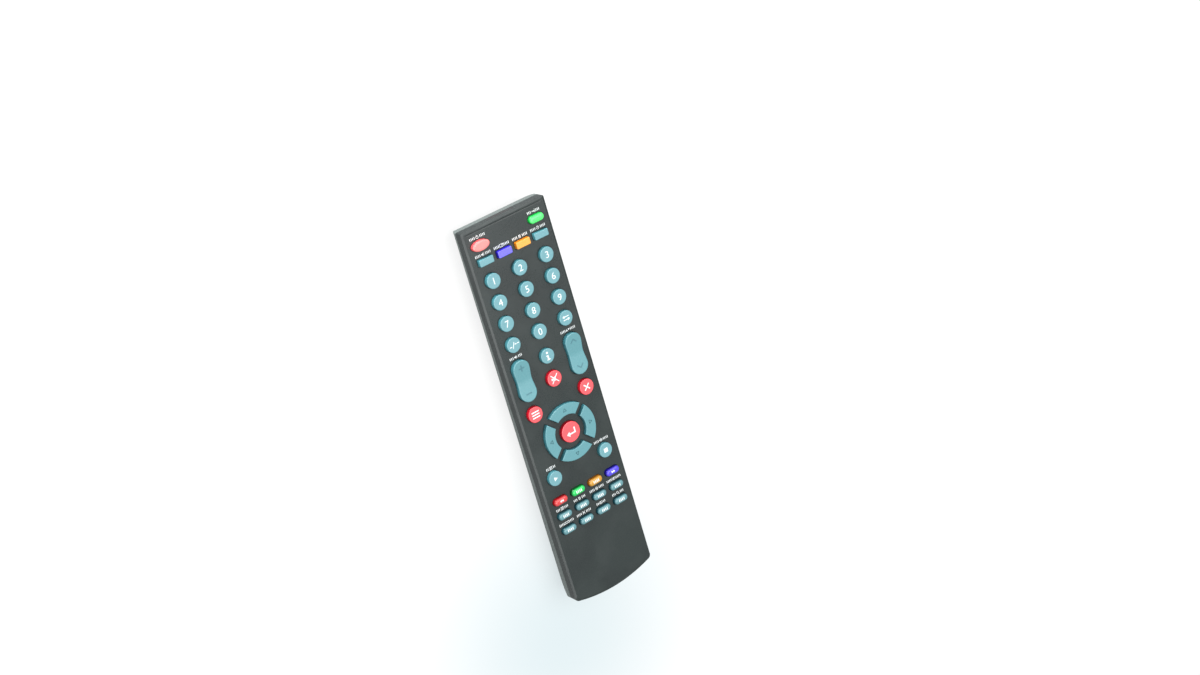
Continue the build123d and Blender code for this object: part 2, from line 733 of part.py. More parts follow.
def make_cell(side):
    """A slim cell with its button."""
    x = side * CELL_PITCH / 2
    start, way = cell_ends(side)
    body = along(x, start, way, CELL_RADIUS, CELL_BODY)
    return body + along(x, start + way * CELL_BODY, way, CELL_BUTTON_RADIUS, CELL_BUTTON)


def contact_plate(side, y, way):
    """A square sheet metal contact against an end wall of the bay."""
    x = side * CELL_PITCH / 2
    half = CONTACT_WIDTH / 2
    y_range = sorted((y, y + way * CONTACT_PLATE))
    return block((x - half, x + half), y_range, (CELL_Z - half, CELL_Z + half))


def make_battery_springs():
    """The two sprung contacts, each pressed to its working length."""
    springs = []
    for side in (-1, 1):
        start, way = cell_ends(side)
        wall = BAY_TAIL if side < 0 else BAY_HEAD
        cone = Cone(SPRING_BASE_RADIUS, SPRING_TIP_RADIUS, SPRING_LENGTH)
        middle = start - way * SPRING_LENGTH / 2
        coil = Pos(side * CELL_PITCH / 2, middle, CELL_Z) * Rot(-90 * way, 0, 0) * cone
        springs.append(contact_plate(side, wall, way) + coil)
    return Compound(children=springs)


def make_contact_plates():
    """The two flat contacts that the cells' buttons meet."""
    left = contact_plate(-1, BAY_HEAD, -1)
    right = contact_plate(1, BAY_TAIL, 1)
    return Compound(children=[left, right])


def make_case_screws():
    """The two screws, each with a flat round head in its recess."""
    tip = CEILING - SCREW_TIP_GAP
    screws = []
    for x, y in screw_places():
        shank = post(x, y, SCREW_RADIUS, (SCREW_RECESS, tip))
        head = post(x, y, SCREW_HEAD_RADIUS, (SCREW_RECESS - SCREW_HEAD_HEIGHT, SCREW_RECESS))
        screws.append(shank + head)
    return Compound(children=screws)


def fixed_pieces():
    """Everything that stays with the case."""
    step = CHIP_ROW + RESONATOR_STEP
    return {
        "upper_shell": make_upper_shell(),
        "lower_shell": make_lower_shell(),
        "ir_window": make_ir_window(),
        "circuit_board": make_circuit_board(),
        "key_mat": make_key_mat(),
        "ir_led": make_ir_led(),
        "controller_chip": under_board(CHIP_SIZE, 0, CHIP_ROW),
        "resonator": under_board(RESONATOR_SIZE, 0, step),
        "capacitor": make_capacitor(),
        "battery_cell_left": make_cell(-1),
        "battery_cell_right": make_cell(1),
        "battery_springs": make_battery_springs(),
        "contact_plates": make_contact_plates(),
        "case_screws": make_case_screws(),
    }


def moving_pieces():
    """The keys, the rockers and the battery cover."""
    pieces = {"battery_cover": make_battery_cover(), "key_enter": make_enter_key()}
    for key in PUSH_KEYS:
        pieces[key.name] = make_push_key(key)
    for name, turn in ARROWS.items():
        pieces[name] = make_arrow_key(turn)
    for name, x in ROCKERS.items():
        pieces[name] = make_rocker(x)
    return pieces


def main():
    os.makedirs("parts", exist_ok=True)
    for name, solid in {**fixed_pieces(), **moving_pieces()}.items():
        export_step(solid, f"parts/{name}.step")


main()
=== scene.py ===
# %% [markdown]
# # A universal remote control on a white studio floor
# The construction of the handset comes in as a fixed frame: case halves, keys, board, cells and
# battery cover, each at its real place. This lesson gives it its looks. It dresses the case in
# moulded plastic, builds every key cap again with a soft rim, prints the face, and lights the scene.

import json
from math import cos, hypot, pi, radians, sin, tau

import bmesh
import bpy
from mathutils import Matrix, Quaternion, Vector
from mathutils.bvhtree import BVHTree


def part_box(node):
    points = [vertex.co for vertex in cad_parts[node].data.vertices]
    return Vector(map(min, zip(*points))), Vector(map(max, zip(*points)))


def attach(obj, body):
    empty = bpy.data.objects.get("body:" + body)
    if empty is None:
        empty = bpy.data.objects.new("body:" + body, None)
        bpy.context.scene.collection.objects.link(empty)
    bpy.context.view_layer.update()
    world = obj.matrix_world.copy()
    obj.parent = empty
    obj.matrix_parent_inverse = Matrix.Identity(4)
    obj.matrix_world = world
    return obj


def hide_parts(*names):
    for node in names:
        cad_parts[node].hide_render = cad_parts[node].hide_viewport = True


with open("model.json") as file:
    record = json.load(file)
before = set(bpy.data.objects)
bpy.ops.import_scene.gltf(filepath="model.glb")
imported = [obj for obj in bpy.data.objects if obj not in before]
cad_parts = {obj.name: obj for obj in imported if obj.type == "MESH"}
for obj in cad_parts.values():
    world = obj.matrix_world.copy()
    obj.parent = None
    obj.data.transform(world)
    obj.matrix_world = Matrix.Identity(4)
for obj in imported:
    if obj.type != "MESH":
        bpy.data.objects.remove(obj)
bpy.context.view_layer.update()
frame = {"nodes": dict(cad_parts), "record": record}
SLOT_OF = {part["node"]: part["material_slot"] for part in frame["record"]["subparts"]}
BODY_OF = {
    node: body
    for body, nodes in frame["record"]["behaviour"]["bodies"].items()
    for node in nodes
}

# %% [markdown]
# ## Working in millimetres
# A key cap is 8 mm across with a rim of 0.4 mm. In metres such numbers come close to the limits
# below which mesh tools merge points, so every piece is modelled in millimetres and made metres
# at the end. A helper gives a node's box in millimetres.

# %% Millimetres and boxes
MM = 0.001


def box_mm(node):
    """The lowest and highest corner of a node, in millimetres."""
    low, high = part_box(node)
    return low / MM, high / MM


FACE = box_mm("upper_shell")[1].z
KEY_TOP = box_mm("key_5")[1].z
print("face at", round(FACE, 2), "key tops at", round(KEY_TOP, 2))

# %% [markdown]
# ## Shader sums as Python
# A finish is a small graph of nodes. Wiring it by hand hides the idea, so a socket is wrapped in
# a class that understands + - and *. An expression such as 1 - mask then adds its own Math
# nodes. Every other node comes from one method: its type, its settings, then its sockets.

# %% The socket wrapper
class Value:
    """The output of a node, ready for sums."""

    def __init__(self, graph, socket):
        self.graph = graph
        self.socket = socket

    def __add__(self, other):
        return self.graph.sum("ADD", self, other)

    def __sub__(self, other):
        return self.graph.sum("SUBTRACT", self, other)

    def __rsub__(self, other):
        return self.graph.sum("SUBTRACT", other, self)

    def __mul__(self, other):
        return self.graph.sum("MULTIPLY", self, other)

    __radd__ = __add__


print("a socket can stand in a sum")


# %% The graph
class Graph:
    """A node tree that is filled by one method."""

    def __init__(self, tree):
        self.tree = tree
        tree.nodes.clear()

    def node(self, kind, settings, sockets, output=0):
        made = self.tree.nodes.new(kind)
        for name, value in settings.items():
            setattr(made, name, value)
        for name, value in sockets.items():
            self.feed(made.inputs[name], value)
        return Value(self, made.outputs[output])

    def feed(self, socket, value):
        if isinstance(value, Value):
            self.tree.links.new(value.socket, socket)
        else:
            socket.default_value = value

    def sum(self, operation, first, second):
        return self.node("ShaderNodeMath", {"operation": operation}, {0: first, 1: second})

    def absolute(self, value):
        """The value without its sign."""
        return self.node("ShaderNodeMath", {"operation": "ABSOLUTE"}, {0: value})

    def step(self, value, low, high):
        """Climbs smoothly from 0 at low to 1 at high."""
        settings = {"interpolation_type": "SMOOTHSTEP"}
        sockets = {"Value": value, "From Min": low, "From Max": high}
        return self.node("ShaderNodeMapRange", settings, sockets)

    def mix(self, mask, first, second):
        """The first colour where the mask is 0, the second where it is 1."""
        sockets = {0: mask, 6: first, 7: second}
        return self.node("ShaderNodeMix", {"data_type": "RGBA"}, sockets, 2)

    def place(self):
        return self.node("ShaderNodeTexCoord", {}, {}, "Object")

    def upward(self, low, high):
        """0 where the surface stands upright, 1 where it looks up."""
        normal = self.node("ShaderNodeTexCoord", {}, {}, "Normal")
        return self.step(self.axis(normal, "Z"), low, high)

    def axis(self, vector, name):
        return self.node("ShaderNodeSeparateXYZ", {}, {"Vector": vector}, name)

    def noise(self, size, detail=2.0):
        """A soft random pattern whose blotches are about a size in millimetres."""
        sockets = {"Vector": self.place(), "Scale": 1 / (size * MM), "Detail": detail}
        return self.node("ShaderNodeTexNoise", {}, sockets)


print("graph methods", [name for name in vars(Graph) if not name.startswith("_")])


# %% The finish
class Finish(Graph):
    """A material with a Principled shader. Constant values go straight onto its sockets."""

    def __init__(self, name, **constants):
        self.material = bpy.data.materials.new(name)
        self.material.use_nodes = True
        super().__init__(self.material.node_tree)
        self.shader = self.tree.nodes.new("ShaderNodeBsdfPrincipled")
        self.output = self.tree.nodes.new("ShaderNodeOutputMaterial")
        self.tree.links.new(self.shader.outputs[0], self.output.inputs[0])
        for socket, value in constants.items():
            self.set(socket, value)

    def set(self, socket, value):
        self.feed(self.shader.inputs[socket], value)

    def bump(self, height, depth, strength=1.0):
        """Gives the surface a relief of a depth in millimetres."""
        sockets = {"Height": height, "Distance": depth * MM, "Strength": strength}
        self.set("Normal", self.node("ShaderNodeBump", {}, sockets))


def srgb(red, green, blue):
    """A colour from 0 to 255, as a screen shows it, in the linear form that shaders take."""

    def linear(part):
        share = part / 255
        return share / 12.92 if share <= 0.04045 else ((share + 0.055) / 1.055) ** 2.4

    return (linear(red), linear(green), linear(blue), 1.0)


def darker(colour, share):
    """The same colour at a share of its brightness."""
    return tuple(share * part for part in colour[:3]) + (1.0,)


print("middle grey in linear light", round(srgb(128, 128, 128)[0], 3))


# %% [markdown]
# ## Moulded plastic for the case
# The case halves are dark grey ABS with a fine satin texture from the mould. A photograph could
# be wrapped on, but it would fix the light in it. Noise in three sizes does it better: a grain
# of a fifth of a millimetre in the relief, smudges from hands in the gloss, and a slow drift of
# the grey. The steep walls are painted a shade darker than the face, as painted shade, and the
# lower half is a lighter grey. A fine groove runs across the face just inside its head end; it is
# pressed in by the relief, and its line is painted darker as painted shade.

# %% Case plastic
PLASTIC_IOR = 1.46
DRIFT_SIZE = 24.0
SMUDGE_SIZE = 13.0
SPECK_SIZE = 0.45
GRAIN_SIZES = (0.22, 0.7)
GRAIN = 0.006
GROOVE_DEPTH = 0.12
GROOVE_FROM_HEAD = 2.1
GROOVE_HALF = 0.5
GROOVE_STOP = 2.0


def groove(finish):
    """1 in the middle of a fine line across the face near the head end, 0 beside it."""
    high = box_mm("upper_shell")[1]
    place = finish.place()
    off = finish.axis(place, "Y") * (1 / MM) - (high.y - GROOVE_FROM_HEAD)
    line = finish.step(finish.absolute(off), GROOVE_HALF, 0.0)
    aside = finish.absolute(finish.axis(place, "X")) * (1 / MM)
    return line * finish.step(aside, high.x - GROOVE_STOP, high.x - 2 * GROOVE_STOP)


def case_plastic(name, painted_shade, dark, light, grooved):
    finish = Finish(name, IOR=PLASTIC_IOR)
    drift = finish.step(finish.noise(DRIFT_SIZE), 0.35, 0.65)
    speck = finish.step(finish.noise(SPECK_SIZE, 4.0), 0.42, 0.62)
    grey = finish.mix(drift * 0.6 + speck * 0.4, dark, light)
    fine, coarse = (finish.noise(size) for size in GRAIN_SIZES)
    relief = (fine + coarse * 0.5) * GRAIN
    if grooved:
        line = groove(finish)
        relief = relief - line * GROOVE_DEPTH
        # painted shade: the groove's line is mixed halfway to the darker shade colour
        grey = finish.mix(line * 0.5, grey, painted_shade)
    # painted shade: steep walls take the darker shade colour, faces that look up take the grey
    finish.set("Base Color", finish.mix(finish.upward(0.1, 0.8), painted_shade, grey))
    smudge = finish.step(finish.noise(SMUDGE_SIZE, 3.0), 0.4, 0.7)
    finish.set("Roughness", 0.30 + smudge * 0.07 - speck * 0.04)
    finish.bump(relief, 1.0)
    return finish.material


# The first colour of each is painted shade for the steep walls, and on the upper half for the groove
# too.
CASE = case_plastic("case_plastic", srgb(30, 36, 36), srgb(38, 45, 45), srgb(46, 54, 53), True)
PALE = srgb(98, 106, 104)
HULL = case_plastic("hull_plastic", PALE, PALE, srgb(108, 116, 113), False)
print("case finishes ready")

# %% [markdown]
# ## Plastic for the keys
# The keys are cast in tinted, slightly milky plastic. Their flat tops are painted pale as painted
# light and their steep sides deep as painted shade, the way overhead light falls on them. A mask
# from the surface normal tells top from side: 1 where the surface looks up, 0 where it stands
# upright. The normal belongs to the key, so the painted light and shade stay on it from every side.

# %% Key plastic
MOTTLE_SIZE = 1.6
KEY_GRAIN_SIZE = 0.35
KEY_GRAIN = 0.008


def key_plastic(name, top, side, roughness=0.24):
    finish = Finish(name, IOR=PLASTIC_IOR)
    mottle = finish.step(finish.noise(MOTTLE_SIZE, 3.0), 0.3, 0.7)
    lit_top = finish.mix(mottle * 0.22, top, darker(top, 0.86))
    # painted light and shade: the lit top colour where the key looks up, the shaded side colour on
    # its steep sides
    finish.set("Base Color", finish.mix(finish.upward(0.35, 0.98), side, lit_top))
    finish.set("Roughness", roughness + mottle * 0.06)
    finish.bump(finish.noise(KEY_GRAIN_SIZE), KEY_GRAIN, 0.4)
    return finish.material


# Each pair is a lit top colour and a shaded side colour: painted light and shade.
KEY_COLOURS = {
    "key_teal": (srgb(110, 158, 166), srgb(70, 134, 144)),
    "key_red": (srgb(244, 92, 98), srgb(196, 20, 40)),
    "key_salmon": (srgb(244, 138, 134), srgb(226, 84, 88)),
    "key_green": (srgb(92, 240, 120), srgb(18, 156, 62)),
    "key_amber": (srgb(240, 168, 76), srgb(196, 116, 18)),
    "key_blue": (srgb(112, 106, 232), srgb(42, 30, 180)),
}
# A darker teal for the ring and the rockers, again a lit top and a shaded side.
DEEP_TEAL = (srgb(97, 149, 156), srgb(64, 124, 134))
# On the domed ovals the same painted light and shade run from a bright middle to dark edges.
OVAL_COLOURS = {
    "key_teal": (srgb(100, 144, 150), srgb(26, 74, 84)),
    "key_red": (srgb(206, 72, 72), srgb(142, 8, 18)),
    "key_green": (srgb(44, 196, 96), srgb(6, 92, 36)),
    "key_amber": (srgb(196, 146, 60), srgb(140, 86, 12)),
    "key_blue": (srgb(86, 76, 214), srgb(22, 14, 130)),
}
KEY_FINISH = {slot: key_plastic(slot + "_satin", *pair) for slot, pair in KEY_COLOURS.items()}
GLOSS_FINISH = {
    slot: key_plastic(slot + "_gloss", *pair, roughness=0.14) for slot, pair in OVAL_COLOURS.items()
}
DEEP_FINISH = key_plastic("deep_teal_satin", *DEEP_TEAL)
print("key finishes", len(KEY_FINISH) + len(GLOSS_FINISH) + 1)

# %% [markdown]
# ## Inks
# Three inks are laid on the handset: white print on the face and on the keys, dark print on the
# direction ring, and a faint dark one on the rockers, which is painted shade for the hollows of the
# real signs pressed in there. Each mark is a thin piece of its own, and the ink has a faint mottle.

# %% Inks
def ink(name, first, second, roughness):
    finish = Finish(name, Roughness=roughness)
    finish.set("Base Color", finish.mix(finish.step(finish.noise(0.5), 0.35, 0.65), first, second))
    finish.bump(finish.noise(0.2), 0.006, 0.5)
    return finish.material


WHITE_INK = ink("white_ink", srgb(236, 240, 240), srgb(220, 226, 226), 0.5)
DARK_INK = ink("dark_ink", srgb(28, 78, 86), srgb(36, 90, 98), 0.45)
# painted shade: a faint dark colour for the hollows of the pressed-in rocker signs
RECESS_SHADE_INK = ink("recess_shade_ink", srgb(66, 114, 124), srgb(74, 122, 132), 0.45)
print("inks ready")

# %% [markdown]
# ## Finishes of the inner pieces
# They show when the battery cover slides off, or when the handset is taken apart: a green
# solder mask with pale tracks, grey silicone, black moulded parts, zinc plate and the sleeves
# of the cells. Each is a short recipe of one or two patterns.

# %% Inner finishes
STREAK_SCALE = (9000, 400, 9000)
TRACK_PITCH = 1.27
MASK_GREEN = srgb(16, 74, 40)
TRACK_GREEN = srgb(38, 112, 62)


def plain_finish(name, first, second, blotch, relief, **constants):
    finish = Finish(name, **constants)
    mask = finish.step(finish.noise(blotch, 3.0), 0.35, 0.65)
    finish.set("Base Color", finish.mix(mask, first, second))
    finish.bump(finish.noise(relief, 2.0), 0.01, 0.4)
    return finish.material


def metal_finish(name, colour, roughness):
    """Sheet metal with fine streaks from rolling."""
    finish = Finish(name, Metallic=1.0)
    sockets = {"Vector": finish.place(), "Scale": STREAK_SCALE}
    stretched = finish.node("ShaderNodeMapping", {}, sockets)
    sockets = {"Vector": stretched, "Scale": 1.0, "Detail": 2.0}
    streak = finish.node("ShaderNodeTexNoise", {}, sockets)
    finish.set("Base Color", finish.mix(streak, colour, darker(colour, 0.8)))
    finish.set("Roughness", roughness + streak * 0.12)
    return finish.material


def board_finish():
    """Solder mask over copper tracks, which run along the board."""
    finish = Finish("solder_mask", Roughness=0.3)
    across = finish.axis(finish.place(), "X") * (1 / (TRACK_PITCH * MM))
    wave = finish.node("ShaderNodeMath", {"operation": "PINGPONG"}, {0: across, 1: 1.0})
    track = finish.step(wave, 0.55, 0.7)
    finish.set("Base Color", finish.mix(track, MASK_GREEN, TRACK_GREEN))
    finish.bump(track, 0.03, 0.6)
    return finish.material


WINDOW = (srgb(18, 8, 12), srgb(26, 12, 16))
SILICONE = (srgb(120, 124, 126), srgb(104, 108, 110))
MOULDING = (srgb(24, 24, 26), srgb(34, 34, 36))
TINTED = (srgb(70, 66, 110), srgb(84, 80, 124))
ZINC = metal_finish("zinc", srgb(196, 198, 196), 0.28)
INNER = {
    "window": plain_finish("window_plastic", *WINDOW, 3.0, 2.0, Roughness=0.08),
    "board": board_finish(),
    "mat": plain_finish("silicone", *SILICONE, 2.0, 0.3, Roughness=0.62),
    "component": plain_finish("moulding", *MOULDING, 1.0, 0.2, Roughness=0.5),
    "metal": ZINC,
    "emitter": plain_finish("tinted", *TINTED, 2.0, 1.0, Roughness=0.06),
}
print("inner finishes", sorted(INNER))

# %% [markdown]
# ## The sleeves of the cells
# A cell is a steel can in a printed plastic sleeve. The sleeve stops short of the button end,
# where a rim of steel shows, and carries one band in another colour. Its place along the cell
# comes from the frame, so one recipe serves both cells, which lie head to tail.

# %% Cell sleeves
BAND_SHARE = 0.62
BARE_SHARE = 0.94
BLEND_SHARE = 0.004
SLEEVE_DARK = srgb(30, 32, 36)
SLEEVE_COPPER = srgb(176, 104, 58)
CAN_STEEL = srgb(200, 202, 200)


def sleeve(node, way):
    """A dark sleeve with a copper band towards the button, which points way along Y."""
    low, high = box_mm(node)
    button, base = (high.y, low.y) if way > 0 else (low.y, high.y)
    finish = Finish(node + "_sleeve", Roughness=0.3)
    share = (finish.axis(finish.place(), "Y") * (1 / MM) - base) * (1 / (button - base))
    band = finish.step(share, BAND_SHARE, BAND_SHARE + BLEND_SHARE)
    bare = finish.step(share, BARE_SHARE, BARE_SHARE + BLEND_SHARE)
    colour = finish.mix(band, SLEEVE_DARK, SLEEVE_COPPER)
    finish.set("Base Color", finish.mix(bare, colour, CAN_STEEL))
    finish.set("Metallic", band * 0.35 + bare * 0.65)
    finish.bump(finish.noise(0.8), 0.02, 0.3)
    return finish.material


CELLS = {"battery_cell_left": sleeve("battery_cell_left", 1)}
CELLS["battery_cell_right"] = sleeve("battery_cell_right", -1)
print("cell sleeves ready")

# %% [markdown]
# ## Dressing the pieces that keep their shape
# The case halves, the cover and the inner pieces have their final shape already. They stay as
# they are and only take a finish.

# %% Dress the frame's own pieces
def dress(node, material):
    mesh = frame["nodes"][node].data
    mesh.materials.clear()
    mesh.materials.append(material)


OWN_SHAPE = {"upper_shell": CASE, "lower_shell": HULL, "battery_cover": HULL, **CELLS}
OWN_SHAPE.update({node: INNER[slot] for node, slot in SLOT_OF.items() if slot in INNER})
for node, material in OWN_SHAPE.items():
    dress(node, material)
print("dressed", len(OWN_SHAPE), "nodes")

# %% [markdown]
# ## From a bmesh to a piece
# Every new piece ends the same way: doubles merged, faces turned outwards, millimetres made
# metres, smooth shading up to an angle, and then its finish, its body and the node that it
# replaces. One function does it, so no piece can forget a step.

# %% Finish a piece
SMOOTH_ANGLE = radians(32)
WELD = 0.0005


def add_object(name, data):
    """A new object in the scene."""
    made = bpy.data.objects.new(name, data)
    bpy.context.scene.collection.objects.link(made)
    return made


def piece(name, bm, material, body, replaces=None):
    bmesh.ops.remove_doubles(bm, verts=bm.verts, dist=WELD)
    bmesh.ops.recalc_face_normals(bm, faces=bm.faces)
    bmesh.ops.scale(bm, verts=bm.verts, vec=(MM, MM, MM))
    mesh = bpy.data.meshes.new(name)
    bm.to_mesh(mesh)
    bm.free()
    mesh.materials.append(material)
    mesh.shade_smooth()
    mesh.set_sharp_from_angle(angle=SMOOTH_ANGLE)
    made = add_object(name, mesh)
    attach(made, body)
    if replaces:
        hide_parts(replaces)


print("points nearer than", WELD, "mm are merged")

# %% [markdown]
# ## Outlines of the key caps
# The keypad has five outlines: round, which also gives the ellipse, oval, bar, a quarter of a
# ring, and the rocker. Each starts from the bmesh shape nearest to it. The oval is a circle whose
# halves are pulled apart, the bar a grid with bevelled corners, the quarter a ring cut by two
# planes, so no list of points is typed.

# %% Round, oval and bar outlines
ROUND_SEGMENTS = 64
BAR_CORNER = 0.5
CORNER_SEGMENTS = 4


def round_outline(bm, size):
    """A circle or an ellipse of a size."""
    bmesh.ops.create_circle(bm, cap_ends=True, segments=ROUND_SEGMENTS, radius=0.5)
    bmesh.ops.scale(bm, verts=bm.verts, vec=(size.x, size.y, 1))


def pulled_outline(bm, width, length, along):
    """A circle of a width, its halves pulled apart to a length along X or Y."""
    bmesh.ops.create_circle(bm, cap_ends=True, segments=ROUND_SEGMENTS, radius=width / 2)
    half_step = Matrix.Rotation(pi / ROUND_SEGMENTS, 3, "Z")
    bmesh.ops.rotate(bm, verts=bm.verts, cent=(0, 0, 0), matrix=half_step)
    for side in (-1, 1):
        half = [v for v in bm.verts if v.co.dot(along) * side > 0]
        bmesh.ops.translate(bm, verts=half, vec=along * side * (length - width) / 2)


def oval_outline(bm, size):
    pulled_outline(bm, size.y, size.x, Vector((1, 0, 0)))


def bar_outline(bm, size):
    bmesh.ops.create_grid(bm, x_segments=1, y_segments=1, size=0.5)
    bmesh.ops.scale(bm, verts=bm.verts, vec=(size.x, size.y, 1))
    bmesh.ops.bevel(
        bm,
        geom=list(bm.verts),
        offset=BAR_CORNER,
        affect="VERTICES",
        segments=CORNER_SEGMENTS,
        profile=0.5,
        material=-1,
    )


print("a round cap has", ROUND_SEGMENTS, "corners")


# %% Ring quarter and rocker outlines
RING_STEPS = 96
CORNER_ROOM = 0.7
NEAR = 0.05
ROCKER_WIDTH = 9.8
ROCKER_WAIST = 8.9
ROCKER_CUTS = 16


def slice_across(bm, point, normal, drop_inner=False):
    """Cuts edges along a plane, and can drop what lies behind it."""
    everything = [*bm.verts, *bm.edges, *bm.faces]
    bmesh.ops.bisect_plane(
        bm, geom=everything, plane_co=point, plane_no=normal, clear_inner=drop_inner
    )


def quarter_outline(bm, inner, outer, gap):
    """The upper quarter of a ring, its straight sides half a gap off the diagonals."""
    ends = [bm.verts.new((inner, 0, 0)), bm.verts.new((outer, 0, 0))]
    edge = bm.edges.new(ends)
    bmesh.ops.spin(
        bm,
        geom=[*ends, edge],
        cent=(0, 0, 0),
        axis=(0, 0, 1),
        angle=tau,
        steps=RING_STEPS,
        use_merge=True,
    )
    normals = [Vector((side, 1, 0)).normalized() for side in (-1, 1)]
    for normal in normals:
        slice_across(bm, normal * gap / 2, normal, True)
    bmesh.ops.dissolve_faces(bm, faces=bm.faces)
    depths = [(v, min(v.co.dot(normal) for normal in normals) - gap / 2) for v in bm.verts]
    crowded = [v for v, depth in depths if WELD < depth < CORNER_ROOM]
    bmesh.ops.dissolve_verts(bm, verts=crowded)


def rocker_outline(bm, size):
    """Two round lobes and a waist, with cross cuts for the hollow of its top."""
    along = Vector((0, 1, 0))
    pulled_outline(bm, ROCKER_WIDTH, size.y, along)
    straight = (size.y - ROCKER_WIDTH) / 2
    sides = [e for e in bm.edges if e.calc_length() > straight]
    bmesh.ops.subdivide_edges(bm, edges=sides, cuts=ROCKER_CUTS)
    slim = 1 - ROCKER_WAIST / ROCKER_WIDTH
    for v in bm.verts:
        if abs(v.co.y) < straight:
            v.co.x *= 1 - slim * (1 + cos(pi * v.co.y / straight)) / 2
    for step in range(1 - ROCKER_CUTS, ROCKER_CUTS):
        slice_across(bm, along * step * size.y / 2 / ROCKER_CUTS, along)
    bmesh.ops.remove_doubles(bm, verts=bm.verts, dist=NEAR)


print("a rocker is", ROCKER_WIDTH, "mm wide and", ROCKER_WAIST, "at its waist")

# %% [markdown]
# ## Raising a cap
# A cap is its outline pulled up, with a rim that rolls over. A bevel could round the rim, but
# the domed ovals need a roll as wide as half the key. So the top face is inset ring by ring,
# and each ring climbs a quarter of an ellipse: a short reach gives a flat key with a soft rim,
# a long reach gives a dome. A last narrow ring stays level, so that the smooth shading of the rim
# doesn't spread over the flat top.

# %% Raise and roll
RIM_STEPS = 6
FLAT_RING = 0.08
UPWARD = 0.9


def pull_up(bm, low, high):
    """Makes a closed block of a flat outline."""
    bmesh.ops.translate(bm, verts=bm.verts, vec=(0, 0, low))
    grown = bmesh.ops.extrude_face_region(bm, geom=list(bm.faces))
    upper = [item for item in grown["geom"] if isinstance(item, bmesh.types.BMVert)]
    bmesh.ops.translate(bm, verts=upper, vec=(0, 0, high - low))
    rim = [e for e in bm.edges if e.is_boundary]
    bmesh.ops.holes_fill(bm, edges=rim, sides=0)
    bmesh.ops.recalc_face_normals(bm, faces=bm.faces)


def raise_cap(bm, low, top, reach, drop):
    """Pulls an outline up to a cap whose rim rolls over by a reach and a drop."""
    shoulder = top - drop
    pull_up(bm, low, shoulder)
    level = [f for f in bm.faces if f.normal.z > UPWARD]
    crown = [f for f in level if f.calc_center_median().z > shoulder - WELD]
    for step in range(RIM_STEPS):
        before, after = (pi / 2 * (step + more) / RIM_STEPS for more in (0, 1))
        width = reach * (cos(before) - cos(after))
        bmesh.ops.inset_region(bm, faces=crown, thickness=width, use_even_offset=True)
        for v in {v for f in crown for v in f.verts}:
            v.co.z = shoulder + drop * sin(after)
    bmesh.ops.inset_region(bm, faces=crown, thickness=FLAT_RING, use_even_offset=True)


def add_block(bm, low, high):
    """Adds a box between two corners."""
    verts = bmesh.ops.create_cube(bm, size=1)["verts"]
    bmesh.ops.scale(bm, verts=verts, vec=high - low)
    bmesh.ops.translate(bm, verts=verts, vec=(low + high) / 2)


def post(bm, x, y, half, low, high):
    """Adds an upright box about a point, by its half sizes and its two heights."""
    add_block(bm, Vector((x - half[0], y - half[1], low)), Vector((x + half[0], y + half[1], high)))


print("a rim rolls over in", RIM_STEPS, "steps")

# %% [markdown]
# ## The push keys
# Each key keeps what the real one has under the face: a lip that stops it falling out, and a
# pill that closes its contact. The node's box in the frame is the lip's, so the cap's outline
# is that box less the lip all round. Round keys have a small soft rim, ovals a wide one.

# %% Key sizes under the face
LIP = 1.0
LIP_LOW = 16.4
LIP_HIGH = 17.1
SEAT = 0.2
PILL_HALF = 1.2
OVALS = {"key_red", "key_green", "key_amber", "key_blue"}
BARS = {"key_sound", "key_picture", "key_freeze", "key_sleep"}
QUARTERS = {"key_up": 0, "key_left": 90, "key_down": 180, "key_right": 270}
ROCKERS = ("rocker_volume", "rocker_program")
DOME = (1.65, 1.25)
PILLOW = (1.0, 0.7)
BAR_RIM = (0.35, 0.35)
ROUND_RIM = (0.45, 0.4)
CAP_TOPS = {}


def style(node):
    """The outline, the reach and drop of the rim, and the finish of a key."""
    slot = SLOT_OF[node]
    if node == "key_input":
        return oval_outline, DOME, KEY_FINISH[slot]
    if node in OVALS or node.startswith("key_text"):
        return oval_outline, DOME, GLOSS_FINISH[slot]
    if node == "key_power":
        return round_outline, PILLOW, KEY_FINISH[slot]
    if node in BARS:
        return bar_outline, BAR_RIM, KEY_FINISH[slot]
    return round_outline, ROUND_RIM, KEY_FINISH[slot]


def keep_top(node, bm):
    """Remembers a cap's surface, so that its mark can be laid on it."""
    CAP_TOPS[node] = BVHTree.FromBMesh(bm)


print("a lip is", LIP, "mm wide and", round(LIP_HIGH - LIP_LOW, 2), "mm thick")


# %% Build the push keys
def push_key(node):
    low, high = box_mm(node)
    middle = (low + high) / 2
    size = high - low - Vector((2 * LIP, 2 * LIP, 0))
    outline, rim, finish = style(node)
    bm = bmesh.new()
    outline(bm, size)
    raise_cap(bm, LIP_HIGH - SEAT, high.z, *rim)
    bmesh.ops.translate(bm, verts=bm.verts, vec=(middle.x, middle.y, 0))
    keep_top(node, bm)
    add_block(bm, Vector((low.x, low.y, LIP_LOW)), Vector((high.x, high.y, LIP_HIGH)))
    post(bm, middle.x, middle.y, (PILL_HALF, PILL_HALF), low.z, LIP_LOW + SEAT)
    piece(node + "_cap", bm, finish, BODY_OF[node], node)


PUSH_KEYS = [
    node
    for node, slot in SLOT_OF.items()
    if node.startswith("key_") and slot in KEY_FINISH and node not in QUARTERS
]
for node in PUSH_KEYS:
    push_key(node)
print("push keys", len(PUSH_KEYS))

# %% [markdown]
# ## The direction ring
# Four quarters stand round the red key. A quarter is built facing the head, then turned. Its
# lip is the same shape a little larger all round.

# %% Build the ring
RING_INNER = 9.4
RING_OUTER = 15.4
RING_GAP = 3.2
RING_LIP = 0.8


